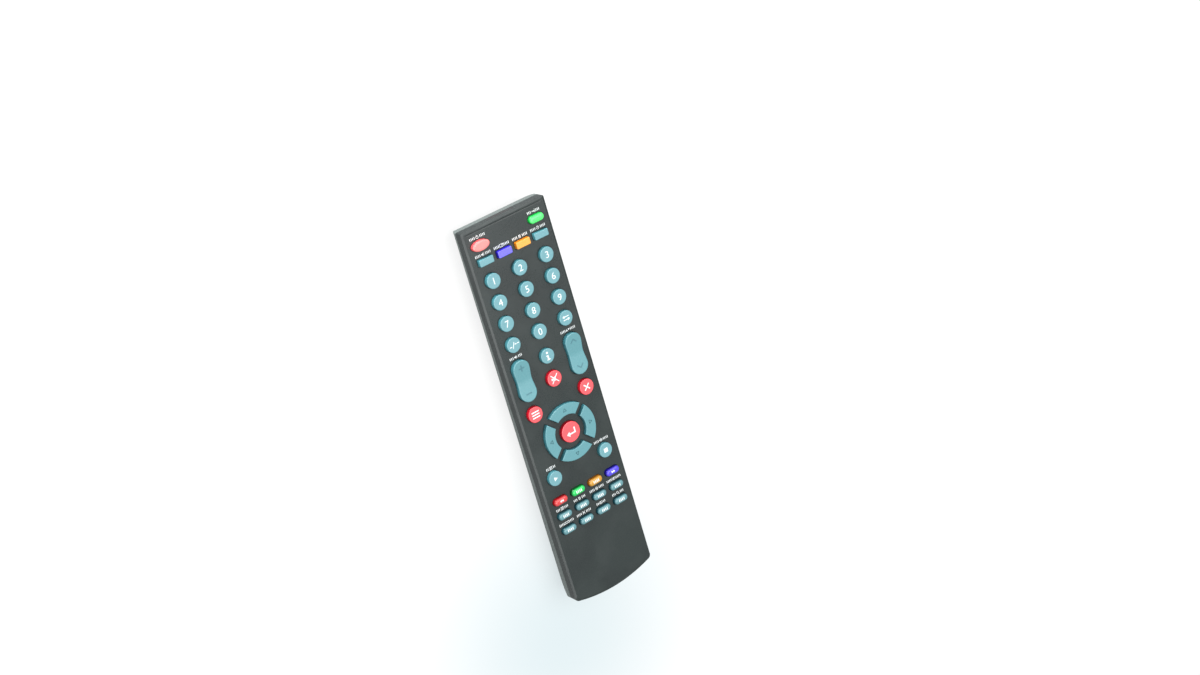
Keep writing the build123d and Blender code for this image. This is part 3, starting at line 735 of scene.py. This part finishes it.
def absorb(bm, other):
    """Moves all of another bmesh into this one."""
    scratch = bpy.data.meshes.new("scratch")
    other.to_mesh(scratch)
    other.free()
    bm.from_mesh(scratch)
    bpy.data.meshes.remove(scratch)


def ring_quarter(node, turn, centre):
    bm = bmesh.new()
    quarter_outline(bm, RING_INNER - RING_LIP, RING_OUTER + RING_LIP, RING_GAP - 2 * RING_LIP)
    pull_up(bm, LIP_LOW, LIP_HIGH)
    cap = bmesh.new()
    quarter_outline(cap, RING_INNER, RING_OUTER, RING_GAP)
    raise_cap(cap, LIP_HIGH - SEAT, KEY_TOP, *ROUND_RIM)
    rotation = Matrix.Rotation(radians(turn), 3, "Z")
    for part in (bm, cap):
        bmesh.ops.rotate(part, verts=part.verts, cent=(0, 0, 0), matrix=rotation)
        bmesh.ops.translate(part, verts=part.verts, vec=centre)
    keep_top(node, cap)
    absorb(bm, cap)
    piece(node + "_cap", bm, DEEP_FINISH, BODY_OF[node], node)


enter_low, enter_high = box_mm("key_enter")
RING_CENTRE = (enter_low + enter_high) / 2
RING_CENTRE.z = 0
for node, turn in QUARTERS.items():
    ring_quarter(node, turn, RING_CENTRE)
print("ring quarters", len(QUARTERS))

# %% [markdown]
# ## The rockers
# A rocker tips about its waist, so its top is hollow: both halves slope down to a soft crease
# in the middle. The cap is raised flat first, then the crease is pressed in by a formula that
# fades out down the sides. Its ears reach under the face at the waist.

# %% Build the rockers
VALLEY = 0.9
CREASE = 0.9
ROCKER_RIM = (0.6, 0.5)
EAR_HALF = 2.2
EAR_TOP = 16.95
PILL_STEP = 6.4


def press_valley(bm, half, top):
    """Lowers the top towards the middle, less and less down the sides."""
    for v in bm.verts:
        share = 1 - hypot(v.co.y, CREASE) / hypot(half, CREASE)
        depth = min(1.0, max(0.0, (v.co.z - FACE) / (top - ROCKER_RIM[1] - FACE)))
        v.co.z -= VALLEY * share * depth


def rocker(node):
    low, high = box_mm(node)
    middle = (low + high) / 2
    size = high - low
    bm = bmesh.new()
    rocker_outline(bm, size)
    raise_cap(bm, LIP_LOW, high.z, *ROCKER_RIM)
    press_valley(bm, size.y / 2, high.z)
    bmesh.ops.translate(bm, verts=bm.verts, vec=(middle.x, middle.y, 0))
    keep_top(node, bm)
    post(bm, middle.x, middle.y, (size.x / 2, EAR_HALF), LIP_LOW, EAR_TOP)
    for side in (-1, 1):
        y = middle.y + side * PILL_STEP
        post(bm, middle.x, y, (PILL_HALF, PILL_HALF), low.z, LIP_LOW + SEAT)
    piece(node + "_cap", bm, DEEP_FINISH, BODY_OF[node], node)


for node in ROCKERS:
    rocker(node)
print("rockers", len(ROCKERS))

# %% [markdown]
# ## Signs from a few strokes
# The face and the keys carry plain signs. A sign is a list of strokes: bars, discs, rings and
# wedges, in a square of side 1 that is scaled to its place. A font would do for digits only,
# and drawn outlines would be long lists of points.

# %% Strokes
MARK_CELL = 0.12
STROKE_LIFT = 0.004
DISC_SEGMENTS = 24
RING_SEGMENTS = 32


def settle(bm, verts, size, turn, x, y):
    """Scales a stroke of side 1, turns it and moves it to its place."""
    bmesh.ops.scale(bm, verts=verts, vec=(size[0], size[1], 1))
    rotation = Matrix.Rotation(radians(turn), 3, "Z")
    bmesh.ops.rotate(bm, verts=verts, cent=(0, 0, 0), matrix=rotation)
    bmesh.ops.translate(bm, verts=verts, vec=(x, y, 0))
    return verts


def patch(bm, width, height):
    """A square of side 1 in cells small enough to follow a domed key at its final size."""
    across, up = (max(1, round(side / MARK_CELL)) for side in (width, height))
    return bmesh.ops.create_grid(bm, x_segments=across, y_segments=up, size=0.5)["verts"]


def bar(bm, x, y, width, height, turn=0):
    return settle(bm, patch(bm, width, height), (width, height), turn, x, y)


def wedge(bm, x, y, width, height, turn=0):
    """A triangle that points to +Y before it is turned."""
    verts = patch(bm, width, height)
    for v in verts:
        v.co.x *= 0.5 - v.co.y
    return settle(bm, verts, (width, height), turn, x, y)


def disc(bm, x, y, radius):
    made = bmesh.ops.create_circle(bm, cap_ends=True, segments=DISC_SEGMENTS, radius=radius)
    return settle(bm, made["verts"], (1, 1), 0, x, y)


def ring(bm, x, y, radius, line):
    loops = [
        bmesh.ops.create_circle(bm, cap_ends=False, segments=RING_SEGMENTS, radius=r)["verts"]
        for r in (radius, radius - line)
    ]
    edges = {e for loop in loops for v in loop for e in v.link_edges}
    bmesh.ops.bridge_loops(bm, edges=list(edges))
    return settle(bm, [*loops[0], *loops[1]], (1, 1), 0, x, y)


print("a stroke is made of cells of about", MARK_CELL, "mm")


# %% The signs
SIGNS = {
    "power": [(ring, 0, -0.06, 0.44, 0.12), (bar, 0, 0.3, 0.13, 0.5)],
    "input": [
        (bar, -0.2, 0, 0.62, 0.15),
        (wedge, 0.18, 0, 0.55, 0.34, -90),
        (bar, 0.48, 0, 0.13, 0.95),
    ],
    "speaker": [
        (bar, -0.34, 0, 0.26, 0.4),
        (wedge, -0.1, 0, 0.95, 0.5, 90),
        (bar, 0.35, 0, 0.12, 0.6),
    ],
    "picture": [
        (bar, 0, 0.38, 1.2, 0.13),
        (bar, 0, -0.38, 1.2, 0.13),
        (bar, -0.54, 0, 0.13, 0.9),
        (bar, 0.54, 0, 0.13, 0.9),
        (disc, 0.18, 0.05, 0.14),
    ],
    "pause": [(bar, -0.2, 0, 0.2, 0.9), (bar, 0.2, 0, 0.2, 0.9)],
    "clock": [(ring, 0, 0, 0.48, 0.11), (bar, 0, 0.14, 0.11, 0.34), (bar, 0.1, 0, 0.28, 0.11)],
    "steps": [(wedge, -0.32, 0, 0.6, 0.6), (wedge, 0.38, 0, 0.6, 0.6, 180)],
    "waves": [
        (bar, -0.5, 0, 0.14, 0.35),
        (bar, -0.25, 0, 0.14, 0.75),
        (bar, 0, 0, 0.14, 1.0),
        (bar, 0.25, 0, 0.14, 0.75),
        (bar, 0.5, 0, 0.14, 0.35),
    ],
    "list": [(bar, 0, 0.36, 1.1, 0.16), (bar, 0, 0, 1.1, 0.16), (bar, 0, -0.36, 1.1, 0.16)],
    "eye": [(ring, 0, 0, 0.46, 0.12), (disc, 0, 0, 0.17)],
    "lines": [(bar, 0, 0.24, 1.5, 0.16), (bar, 0, -0.24, 1.5, 0.16)],
    "cross": [(bar, 0, 0, 1.15, 0.17, 45), (bar, 0, 0, 1.15, 0.17, -45)],
    "pair": [(ring, -0.24, 0, 0.4, 0.12), (ring, 0.24, 0, 0.4, 0.12)],
    "lens": [(ring, -0.08, 0.1, 0.38, 0.12), (bar, 0.32, -0.32, 0.44, 0.15, -45)],
    "plus": [(bar, 0, 0, 1.0, 0.2), (bar, 0, 0, 0.2, 1.0)],
    "minus": [(bar, 0, 0, 1.0, 0.2)],
    "up": [(bar, -0.26, 0, 0.78, 0.18, 45), (bar, 0.26, 0, 0.78, 0.18, -45)],
    "down": [(bar, -0.26, 0, 0.78, 0.18, -45), (bar, 0.26, 0, 0.78, 0.18, 45)],
    "return": [
        (bar, 0.14, -0.2, 0.9, 0.17),
        (bar, 0.52, 0.08, 0.17, 0.72),
        (wedge, -0.45, -0.2, 0.62, 0.42, 90),
    ],
    "info": [
        (disc, 0, 0.42, 0.14),
        (bar, 0, -0.19, 0.2, 0.6),
        (bar, -0.12, 0.05, 0.2, 0.12),
        (bar, 0, -0.45, 0.46, 0.12),
    ],
    "dashes": [
        (bar, -0.55, -0.12, 0.36, 0.12),
        (bar, -0.08, 0, 1.0, 0.1, 68),
        (bar, 0.28, 0.1, 0.3, 0.12),
        (bar, 0.68, 0.1, 0.3, 0.12),
    ],
    "swap": [
        (bar, 0.1, 0.22, 0.8, 0.12),
        (wedge, -0.42, 0.22, 0.44, 0.34, 90),
        (bar, -0.1, -0.22, 0.8, 0.12),
        (wedge, 0.42, -0.22, 0.44, 0.34, -90),
    ],
    "play": [(wedge, 0.05, 0, 1.0, 0.95, -90)],
    "stop": [(bar, 0, 0, 1.0, 1.0)],
    "back": [(wedge, -0.3, 0, 0.8, 0.6, 90), (wedge, 0.3, 0, 0.8, 0.6, 90)],
    "forward": [(wedge, -0.3, 0, 0.8, 0.6, -90), (wedge, 0.3, 0, 0.8, 0.6, -90)],
    "ticks": [(bar, step * 0.52, 0, 0.3, 0.75) for step in (-1.5, -0.5, 0.5, 1.5)],
    "hollow": [
        (bar, 0, -0.36, 1.0, 0.13),
        (bar, -0.23, 0.03, 0.9, 0.13, 61),
        (bar, 0.23, 0.03, 0.9, 0.13, -61),
    ],
    "silent": [
        (bar, -0.34, 0, 0.16, 0.26),
        (wedge, -0.14, 0, 0.56, 0.4, 90),
        (bar, 0, 0, 1.3, 0.1, 48),
        (bar, 0, 0, 1.3, 0.1, -48),
    ],
}


def sign(bm, name, size, x, y, turn=0):
    """Draws a sign of a size, turned, round a point."""
    verts = []
    for order, (stroke, *numbers) in enumerate(SIGNS[name]):
        drawn = stroke(bm, *numbers)
        bmesh.ops.translate(bm, verts=drawn, vec=(0, 0, order * STROKE_LIFT))
        verts += drawn
    settle(bm, verts, (size, size), turn, x, y)


print("signs", len(SIGNS))

# %% [markdown]
# ## Laying ink on a surface
# A mark is drawn flat, dropped onto the cap or the face below it, and given the thickness of
# ink. A ray straight down finds the height under each point, so a mark follows a domed key.

# %% Lay the ink
INK = 0.03
INK_ROOT = 0.06
SKY = 40.0


def lay(bm, surface):
    """Drops a flat mark on a surface, or on the face of the case, and thickens it."""
    bmesh.ops.remove_doubles(bm, verts=bm.verts, dist=WELD)
    for v in bm.verts:
        height = FACE
        if surface:
            hit = surface.ray_cast(Vector((v.co.x, v.co.y, SKY)), Vector((0, 0, -1)))[0]
            height = hit.z if hit else KEY_TOP - 2 * INK
        v.co.z += height + INK
    flat = list(bm.faces)
    grown = bmesh.ops.extrude_face_region(bm, geom=flat, use_keep_orig=True)
    lower = [item for item in grown["geom"] if isinstance(item, bmesh.types.BMVert)]
    bmesh.ops.translate(bm, verts=lower, vec=(0, 0, -INK_ROOT))


def mark(node, draw, material=WHITE_INK):
    """A mark on one key, drawn about the key's middle."""
    low, high = box_mm(node)
    middle = (low + high) / 2
    bm = bmesh.new()
    draw(bm, middle.x, middle.y)
    lay(bm, CAP_TOPS[node])
    piece(node + "_mark", bm, material, BODY_OF[node])


print("ink stands", INK, "mm high")

# %% [markdown]
# ## Digits
# The digits come from the built-in plain font. The text is made a mesh at once, scaled to its
# height and centred by its outline, because a 1 is narrower than an 8.

# %% Digits on their keys
DIGIT_HEIGHT = 3.5
CURVE_STEPS = 4


def digit(bm, number, x, y):
    curve = bpy.data.curves.new("digit", "FONT")
    curve.body = str(number)
    curve.resolution_u = CURVE_STEPS
    holder = add_object("digit", curve)
    graph = bpy.context.evaluated_depsgraph_get()
    mesh = bpy.data.meshes.new_from_object(holder.evaluated_get(graph))
    start = len(bm.verts)
    bm.from_mesh(mesh)
    bm.verts.ensure_lookup_table()
    verts = bm.verts[start:]
    low = Vector([min(v.co[axis] for v in verts) for axis in range(3)])
    high = Vector([max(v.co[axis] for v in verts) for axis in range(3)])
    bmesh.ops.translate(bm, verts=verts, vec=-(low + high) / 2)
    size = DIGIT_HEIGHT / (high.y - low.y)
    settle(bm, verts, (size, size), 0, x, y)
    bpy.data.objects.remove(holder)
    bpy.data.curves.remove(curve)
    bpy.data.meshes.remove(mesh)


for number in range(10):
    mark(f"key_{number}", lambda bm, x, y: digit(bm, number, x, y))
print("digits", DIGIT_HEIGHT, "mm high")

# %% [markdown]
# ## Signs on the other keys
# White signs go on the round and the oval keys, dark hollow arrows on the ring, and faint
# signs near both ends of each rocker: painted shade for the real ones, which are pressed into the
# plastic.

# %% Signs on the keys
KEY_SIGNS = {
    "key_dash": ("dashes", 3.6),
    "key_swap": ("swap", 3.6),
    "key_info": ("info", 4.2),
    "key_mute": ("silent", 4.6),
    "key_menu": ("list", 4.0),
    "key_exit": ("cross", 3.8),
    "key_enter": ("return", 4.4),
    "key_play": ("play", 2.2),
    "key_stop": ("stop", 2.3),
    "key_red": ("back", 1.9),
    "key_green": ("ticks", 1.9),
    "key_amber": ("ticks", 1.9),
    "key_blue": ("forward", 1.9),
}
for node in PUSH_KEYS:
    if node.startswith("key_text"):
        KEY_SIGNS[node] = ("ticks", 1.9)
for node, (name, size) in KEY_SIGNS.items():
    mark(node, lambda bm, x, y: sign(bm, name, size, x, y))
print("signs on keys", len(KEY_SIGNS))

# %% Arrows on the ring
ARROW = 2.1


def arrow(turn):
    middle = (RING_INNER + RING_OUTER) / 2
    spot = RING_CENTRE + Matrix.Rotation(radians(turn), 3, "Z") @ Vector((0, middle, 0))
    return lambda bm, x, y: sign(bm, "hollow", ARROW, spot.x, spot.y, turn)


for node, turn in QUARTERS.items():
    mark(node, arrow(turn), DARK_INK)
print("arrows on the ring", len(QUARTERS))

# %% Signs on the rockers
ROCKER_SIGNS = {"rocker_volume": ("plus", "minus"), "rocker_program": ("up", "down")}
ROCKER_SIGN = 3.4
ROCKER_SIGN_STEP = 7.0


def rocker_marks(first, second):
    def draw(bm, x, y):
        sign(bm, first, ROCKER_SIGN, x, y + ROCKER_SIGN_STEP)
        sign(bm, second, ROCKER_SIGN, x, y - ROCKER_SIGN_STEP)

    return draw


# painted shade for the pressed-in rocker signs
for node, names in ROCKER_SIGNS.items():
    mark(node, rocker_marks(*names), RECESS_SHADE_INK)
print("signs on rockers", len(ROCKER_SIGNS))

# %% [markdown]
# ## The print on the face
# Over a key stands a small sign between two rows of ticks, as wide as the print on such
# handsets is. All of it is one piece of white ink on the face. The tail end stays bare.

# %% Print the face
CAPTION_GAP = 1.6
CAPTION_SIZE = 1.8
CAPTION_CLEAR = 1.7
TICK_PITCH = 0.85
TICK_SIZE = (0.36, 1.3)
CAPTIONS = {
    "key_power": ("power", 9.0),
    "key_input": ("input", 7.4),
    "key_sound": ("speaker", 9.0),
    "key_picture": ("picture", 9.0),
    "key_freeze": ("pause", 9.0),
    "key_sleep": ("clock", 8.0),
    "rocker_volume": ("speaker", 6.0),
    "rocker_program": ("steps", 8.0),
    "key_stop": ("waves", 9.0),
    "key_play": ("list", 4.8),
    "key_text_1a": ("list", 7.4),
    "key_text_1b": ("pause", 7.0),
    "key_text_1c": ("eye", 8.6),
    "key_text_1d": ("pair", 8.6),
    "key_text_2a": ("lines", 9.0),
    "key_text_2b": ("cross", 8.4),
    "key_text_2c": ("pair", 5.0),
    "key_text_2d": ("lens", 7.0),
}


def caption(bm, node, name, width):
    low, high = box_mm(node)
    x = (low.x + high.x) / 2
    lip = 0 if node in ROCKERS else LIP
    y = high.y - lip + CAPTION_GAP
    sign(bm, name, CAPTION_SIZE, x, y)
    for step in range(round((width / 2 - CAPTION_CLEAR) / TICK_PITCH) + 1):
        for side in (-1, 1):
            bar(bm, x + side * (CAPTION_CLEAR + step * TICK_PITCH), y, *TICK_SIZE)


face_print = bmesh.new()
for node, (name, width) in CAPTIONS.items():
    caption(face_print, node, name, width)
lay(face_print, None)
piece("face_print", face_print, WHITE_INK, "root")
print("captions", len(CAPTIONS))

# %% [markdown]
# ## Screws with a cross recess
# The two case screws lie deep in their recesses under the handset. The head is a low drum with
# a rounded edge, and the cross is cut into it by two bars. A Boolean cut is the plain way
# here, because the cross doesn't follow the rings of the head.

# %% Build the screws
SCREW_RADIUS = 1.2
HEAD_HEIGHT = 1.7
HEAD_EDGE = 0.35
CROSS_LENGTH = 2.6
CROSS_WIDTH = 0.6
CROSS_DEPTH = 0.9
DRUM_SEGMENTS = 40


def drum(bm, x, y, radius, low, high):
    made = bmesh.ops.create_cone(
        bm,
        cap_ends=True,
        segments=DRUM_SEGMENTS,
        radius1=radius,
        radius2=radius,
        depth=high - low,
    )
    bmesh.ops.translate(bm, verts=made["verts"], vec=(x, y, (low + high) / 2))


def cut(bm, tool):
    """Takes a tool's shape away from a closed mesh, and returns what is left."""
    holders = []
    for part in (bm, tool):
        mesh = bpy.data.meshes.new("cut")
        bmesh.ops.recalc_face_normals(part, faces=part.faces)
        part.to_mesh(mesh)
        part.free()
        holders.append(add_object("cut", mesh))
    modifier = holders[0].modifiers.new("cut", "BOOLEAN")
    modifier.operation = "DIFFERENCE"
    modifier.solver = "EXACT"
    modifier.use_self = True
    modifier.object = holders[1]
    graph = bpy.context.evaluated_depsgraph_get()
    mesh = bpy.data.meshes.new_from_object(holders[0].evaluated_get(graph))
    left = bmesh.new()
    left.from_mesh(mesh)
    for holder in holders:
        bpy.data.objects.remove(holder)
    return left


def screw(x, y, head_radius, low, high):
    bm = bmesh.new()
    drum(bm, x, y, head_radius, low, low + HEAD_HEIGHT)
    rim = [e for e in bm.edges if all(v.co.z < low + WELD for v in e.verts)]
    bmesh.ops.bevel(
        bm,
        geom=rim,
        offset=HEAD_EDGE,
        affect="EDGES",
        segments=CORNER_SEGMENTS,
        profile=0.5,
        material=-1,
    )
    tool = bmesh.new()
    for half in ((CROSS_LENGTH / 2, CROSS_WIDTH / 2), (CROSS_WIDTH / 2, CROSS_LENGTH / 2)):
        post(tool, x, y, half, low - CROSS_DEPTH, low + CROSS_DEPTH)
    left = cut(bm, tool)
    drum(left, x, y, SCREW_RADIUS, low + HEAD_HEIGHT - SEAT, high)
    return left


screws_low, screws_high = box_mm("case_screws")
HEAD_RADIUS = (screws_high.y - screws_low.y) / 2
screw_y = (screws_low.y + screws_high.y) / 2
screw_columns = (screws_low.x + HEAD_RADIUS, screws_high.x - HEAD_RADIUS)
screws = bmesh.new()
for x in screw_columns:
    absorb(screws, screw(x, screw_y, HEAD_RADIUS, screws_low.z, screws_high.z))
piece("cross_head_screws", screws, ZINC, "root", "case_screws")
print("screws", len(screw_columns), "with heads", round(2 * HEAD_RADIUS, 2), "mm across")

# %% [markdown]
# ## Battery springs
# A cell's sprung contact is a wire wound to a cone, on a small plate. A circle is spun along
# its axis as a screw, and the coil is then drawn in towards its tip. The frame gives where the
# plate stands and which way the coil looks.

# %% Build the springs
WIRE = 0.34
WIRE_SEGMENTS = 8
COIL_TURNS = 5
COIL_STEPS = 24
PLATE = 0.4
BASE_RADIUS = 3.3
TIP_RADIUS = 2.0
COIL_LENGTH = 3.6
CONTACT_HALF = 4.2


def coil(bm, x, z, start, way):
    """A cone of wire that starts at a plate and runs along Y."""
    wire = bmesh.ops.create_circle(bm, cap_ends=False, segments=WIRE_SEGMENTS, radius=WIRE)["verts"]
    bmesh.ops.translate(bm, verts=wire, vec=(BASE_RADIUS, 0, 0))
    length = COIL_LENGTH - 2 * WIRE
    steps = COIL_TURNS * COIL_STEPS
    before = set(bm.verts)
    edges = list({e for v in wire for e in v.link_edges})
    bmesh.ops.spin(
        bm,
        geom=[*wire, *edges],
        cent=(0, 0, 0),
        axis=(0, 1, 0),
        dvec=(0, length / steps, 0),
        angle=tau * COIL_TURNS,
        steps=steps,
        use_merge=False,
    )
    turned = wire + [v for v in bm.verts if v not in before]
    for v in turned:
        share = min(1.0, max(0.0, v.co.y / length))
        slim = 1 + share * (TIP_RADIUS / BASE_RADIUS - 1)
        v.co.x *= slim
        v.co.z *= slim
    bmesh.ops.translate(bm, verts=turned, vec=(0, WIRE, 0))
    if way < 0:
        bmesh.ops.scale(bm, verts=turned, vec=(1, -1, 1))
    bmesh.ops.translate(bm, verts=turned, vec=(x, start + way * PLATE, z))


springs_low, springs_high = box_mm("battery_springs")
CELL_Z = (springs_low.z + springs_high.z) / 2
COIL_PLACES = (
    (springs_low.x + CONTACT_HALF, springs_low.y, 1),
    (springs_high.x - CONTACT_HALF, springs_high.y, -1),
)
springs = bmesh.new()
for x, start, way in COIL_PLACES:
    coil(springs, x, CELL_Z, start, way)
    far = start + way * PLATE
    add_block(
        springs,
        Vector((x - CONTACT_HALF, min(start, far), springs_low.z)),
        Vector((x + CONTACT_HALF, max(start, far), springs_high.z)),
    )
ends = [e for e in springs.edges if e.is_boundary]
bmesh.ops.holes_fill(springs, edges=ends, sides=0)
piece("wound_springs", springs, ZINC, "root", "battery_springs")
print("springs", len(COIL_PLACES), "of", COIL_TURNS, "turns")

# %% [markdown]
# ## The floor
# The handset lies on a seamless white sheet. To the camera the sheet is partly its own pale
# colour with the handset's shadow on it and partly plain white, which keeps the shadow faint
# without more light on the object. The object itself sees a greyer sheet, so that its sides
# stay dark. Below the tail end a soft blue-grey shadow is painted onto the sheet.

# %% Floor and backdrop
FLOOR = 6000.0
FLOOR_WHITE = 0.78
# Place, reach and colours of a painted shadow below the tail end.
PAINTED_SHADOW_PLACE = (-32 * MM, -128 * MM, 0.0)
PAINTED_SHADOW_REACH = (0.0, 125 * MM)
SHEET_SEEN = srgb(250, 251, 251)
SHEET_FELT = srgb(176, 180, 180)
PAINTED_SHADOW_SEEN = srgb(220, 230, 233)
PAINTED_SHADOW_GLOW = srgb(222, 234, 237)
PURE_WHITE = (1.0, 1.0, 1.0, 1.0)


def floor_finish():
    finish = Finish("studio_sheet", Roughness=0.9)
    settings = {"operation": "DISTANCE"}
    away = finish.node("ShaderNodeVectorMath", settings, {0: finish.place(), 1: PAINTED_SHADOW_PLACE}, "Value")
    # painted shadow: a round blue-grey patch below the tail end, in the sheet's colour and in its
    # white glow
    painted_shadow = 1 - finish.step(away, *PAINTED_SHADOW_REACH)
    camera = finish.node("ShaderNodeLightPath", {}, {}, "Is Camera Ray")
    seen = finish.mix(painted_shadow, SHEET_SEEN, PAINTED_SHADOW_SEEN)
    finish.set("Base Color", finish.mix(camera, SHEET_FELT, seen))
    white = finish.mix(painted_shadow, PURE_WHITE, PAINTED_SHADOW_GLOW)
    glow = finish.node("ShaderNodeEmission", {}, {"Color": white})
    paper = Value(finish, finish.shader.outputs[0])
    both = finish.node("ShaderNodeMixShader", {}, {0: camera * FLOOR_WHITE, 1: paper, 2: glow})
    finish.feed(finish.output.inputs[0], both)
    return finish.material


sheet = bmesh.new()
bmesh.ops.create_grid(sheet, x_segments=1, y_segments=1, size=FLOOR / 2)
bmesh.ops.scale(sheet, verts=sheet.verts, vec=(MM, MM, MM))
floor_mesh = bpy.data.meshes.new("floor")
sheet.to_mesh(floor_mesh)
sheet.free()
floor_mesh.materials.append(floor_finish())
floor = add_object("floor", floor_mesh)
print("floor side", FLOOR, "mm")

# %% [markdown]
# ## Light
# The bright lines along the bevels of the head end and of one side are a large softbox seen in
# them, while the flat face looks past that softbox at a dimmer part of the studio. So the box
# hangs overhead with one edge across the diagonal between them. A low strip in front of the
# head end picks out the tucked edge of the lower half there. The rest is even light from the
# room, which only the camera sees as white.

# %% Room and softbox
ROOM_LIGHT = 0.45
BOX_PLACE = Vector((46.0, 60.0, 1000.0))
BOX_SIZE = (980.0, 1450.0)
BOX_TURN = radians(-45)
BOX_POWER = 15.0
HEAD_PLACE = Vector((-140.0, 500.0, 60.0))
HEAD_SIZE = (500.0, 110.0)
HEAD_POWER = 4.0


def room():
    world = bpy.data.worlds.new("studio")
    world.use_nodes = True
    graph = Graph(world.node_tree)
    dim, white = (
        graph.node("ShaderNodeBackground", {}, {"Color": PURE_WHITE, "Strength": strength})
        for strength in (ROOM_LIGHT, 1.0)
    )
    seen = graph.node("ShaderNodeLightPath", {}, {}, "Is Camera Ray")
    both = graph.node("ShaderNodeMixShader", {}, {0: seen, 1: dim, 2: white})
    output = graph.tree.nodes.new("ShaderNodeOutputWorld")
    graph.feed(output.inputs[0], both)
    return world


def softbox(name, place, way, turn, size, power):
    """A flat lamp that looks along a way and is turned about it."""
    lamp = bpy.data.lights.new(name, "AREA")
    lamp.shape = "RECTANGLE"
    lamp.size, lamp.size_y = (side * MM for side in size)
    lamp.energy = power
    holder = add_object(name, lamp)
    holder.location = place * MM
    holder.rotation_mode = "QUATERNION"
    holder.rotation_quaternion = way.to_track_quat("-Z", "Y") @ Quaternion((0, 0, 1), turn)
    holder.visible_camera = False


bpy.context.scene.world = room()
softbox("overhead", BOX_PLACE, Vector((0, 0, -1)), BOX_TURN, BOX_SIZE, BOX_POWER)
softbox("head_end", HEAD_PLACE, -HEAD_PLACE, 0, HEAD_SIZE, HEAD_POWER)
print("room", ROOM_LIGHT, "softbox", BOX_POWER, "W")

# %% [markdown]
# ## The camera
# The camera stands a metre away, high over the left of the head end, and is turned so that the
# handset hangs across the picture. Its place, its aim and the direction that is up in the
# picture were solved from the photograph. The solved angle of view gives the lens.

# %% Place the camera
CAMERA_PLACE = Vector((-416.3, 373.2, 799.4))
CAMERA_AIM = Vector((38.05, 19.84, 10.0))
PICTURE_UP = Vector((0.4182, 0.8942, -0.1596))
PICTURE_WIDTH = 1200
FOCAL_PIXELS = 1905.6
SENSOR = 36.0

camera_data = bpy.data.cameras.new("camera")
camera_data.sensor_width = SENSOR
camera_data.lens = SENSOR * FOCAL_PIXELS / PICTURE_WIDTH
camera_data.clip_start = 0.05
camera_data.clip_end = 20.0
camera = add_object("camera", camera_data)
back = (CAMERA_PLACE - CAMERA_AIM).normalized()
right = PICTURE_UP.cross(back).normalized()
up = back.cross(right)
turn = Matrix((right, up, back)).transposed()
camera.matrix_world = Matrix.Translation(CAMERA_PLACE * MM) @ turn.to_4x4()
bpy.context.scene.camera = camera
bpy.context.scene.view_settings.view_transform = "Standard"
print("lens", round(camera_data.lens, 2), "mm")

# %% [markdown]
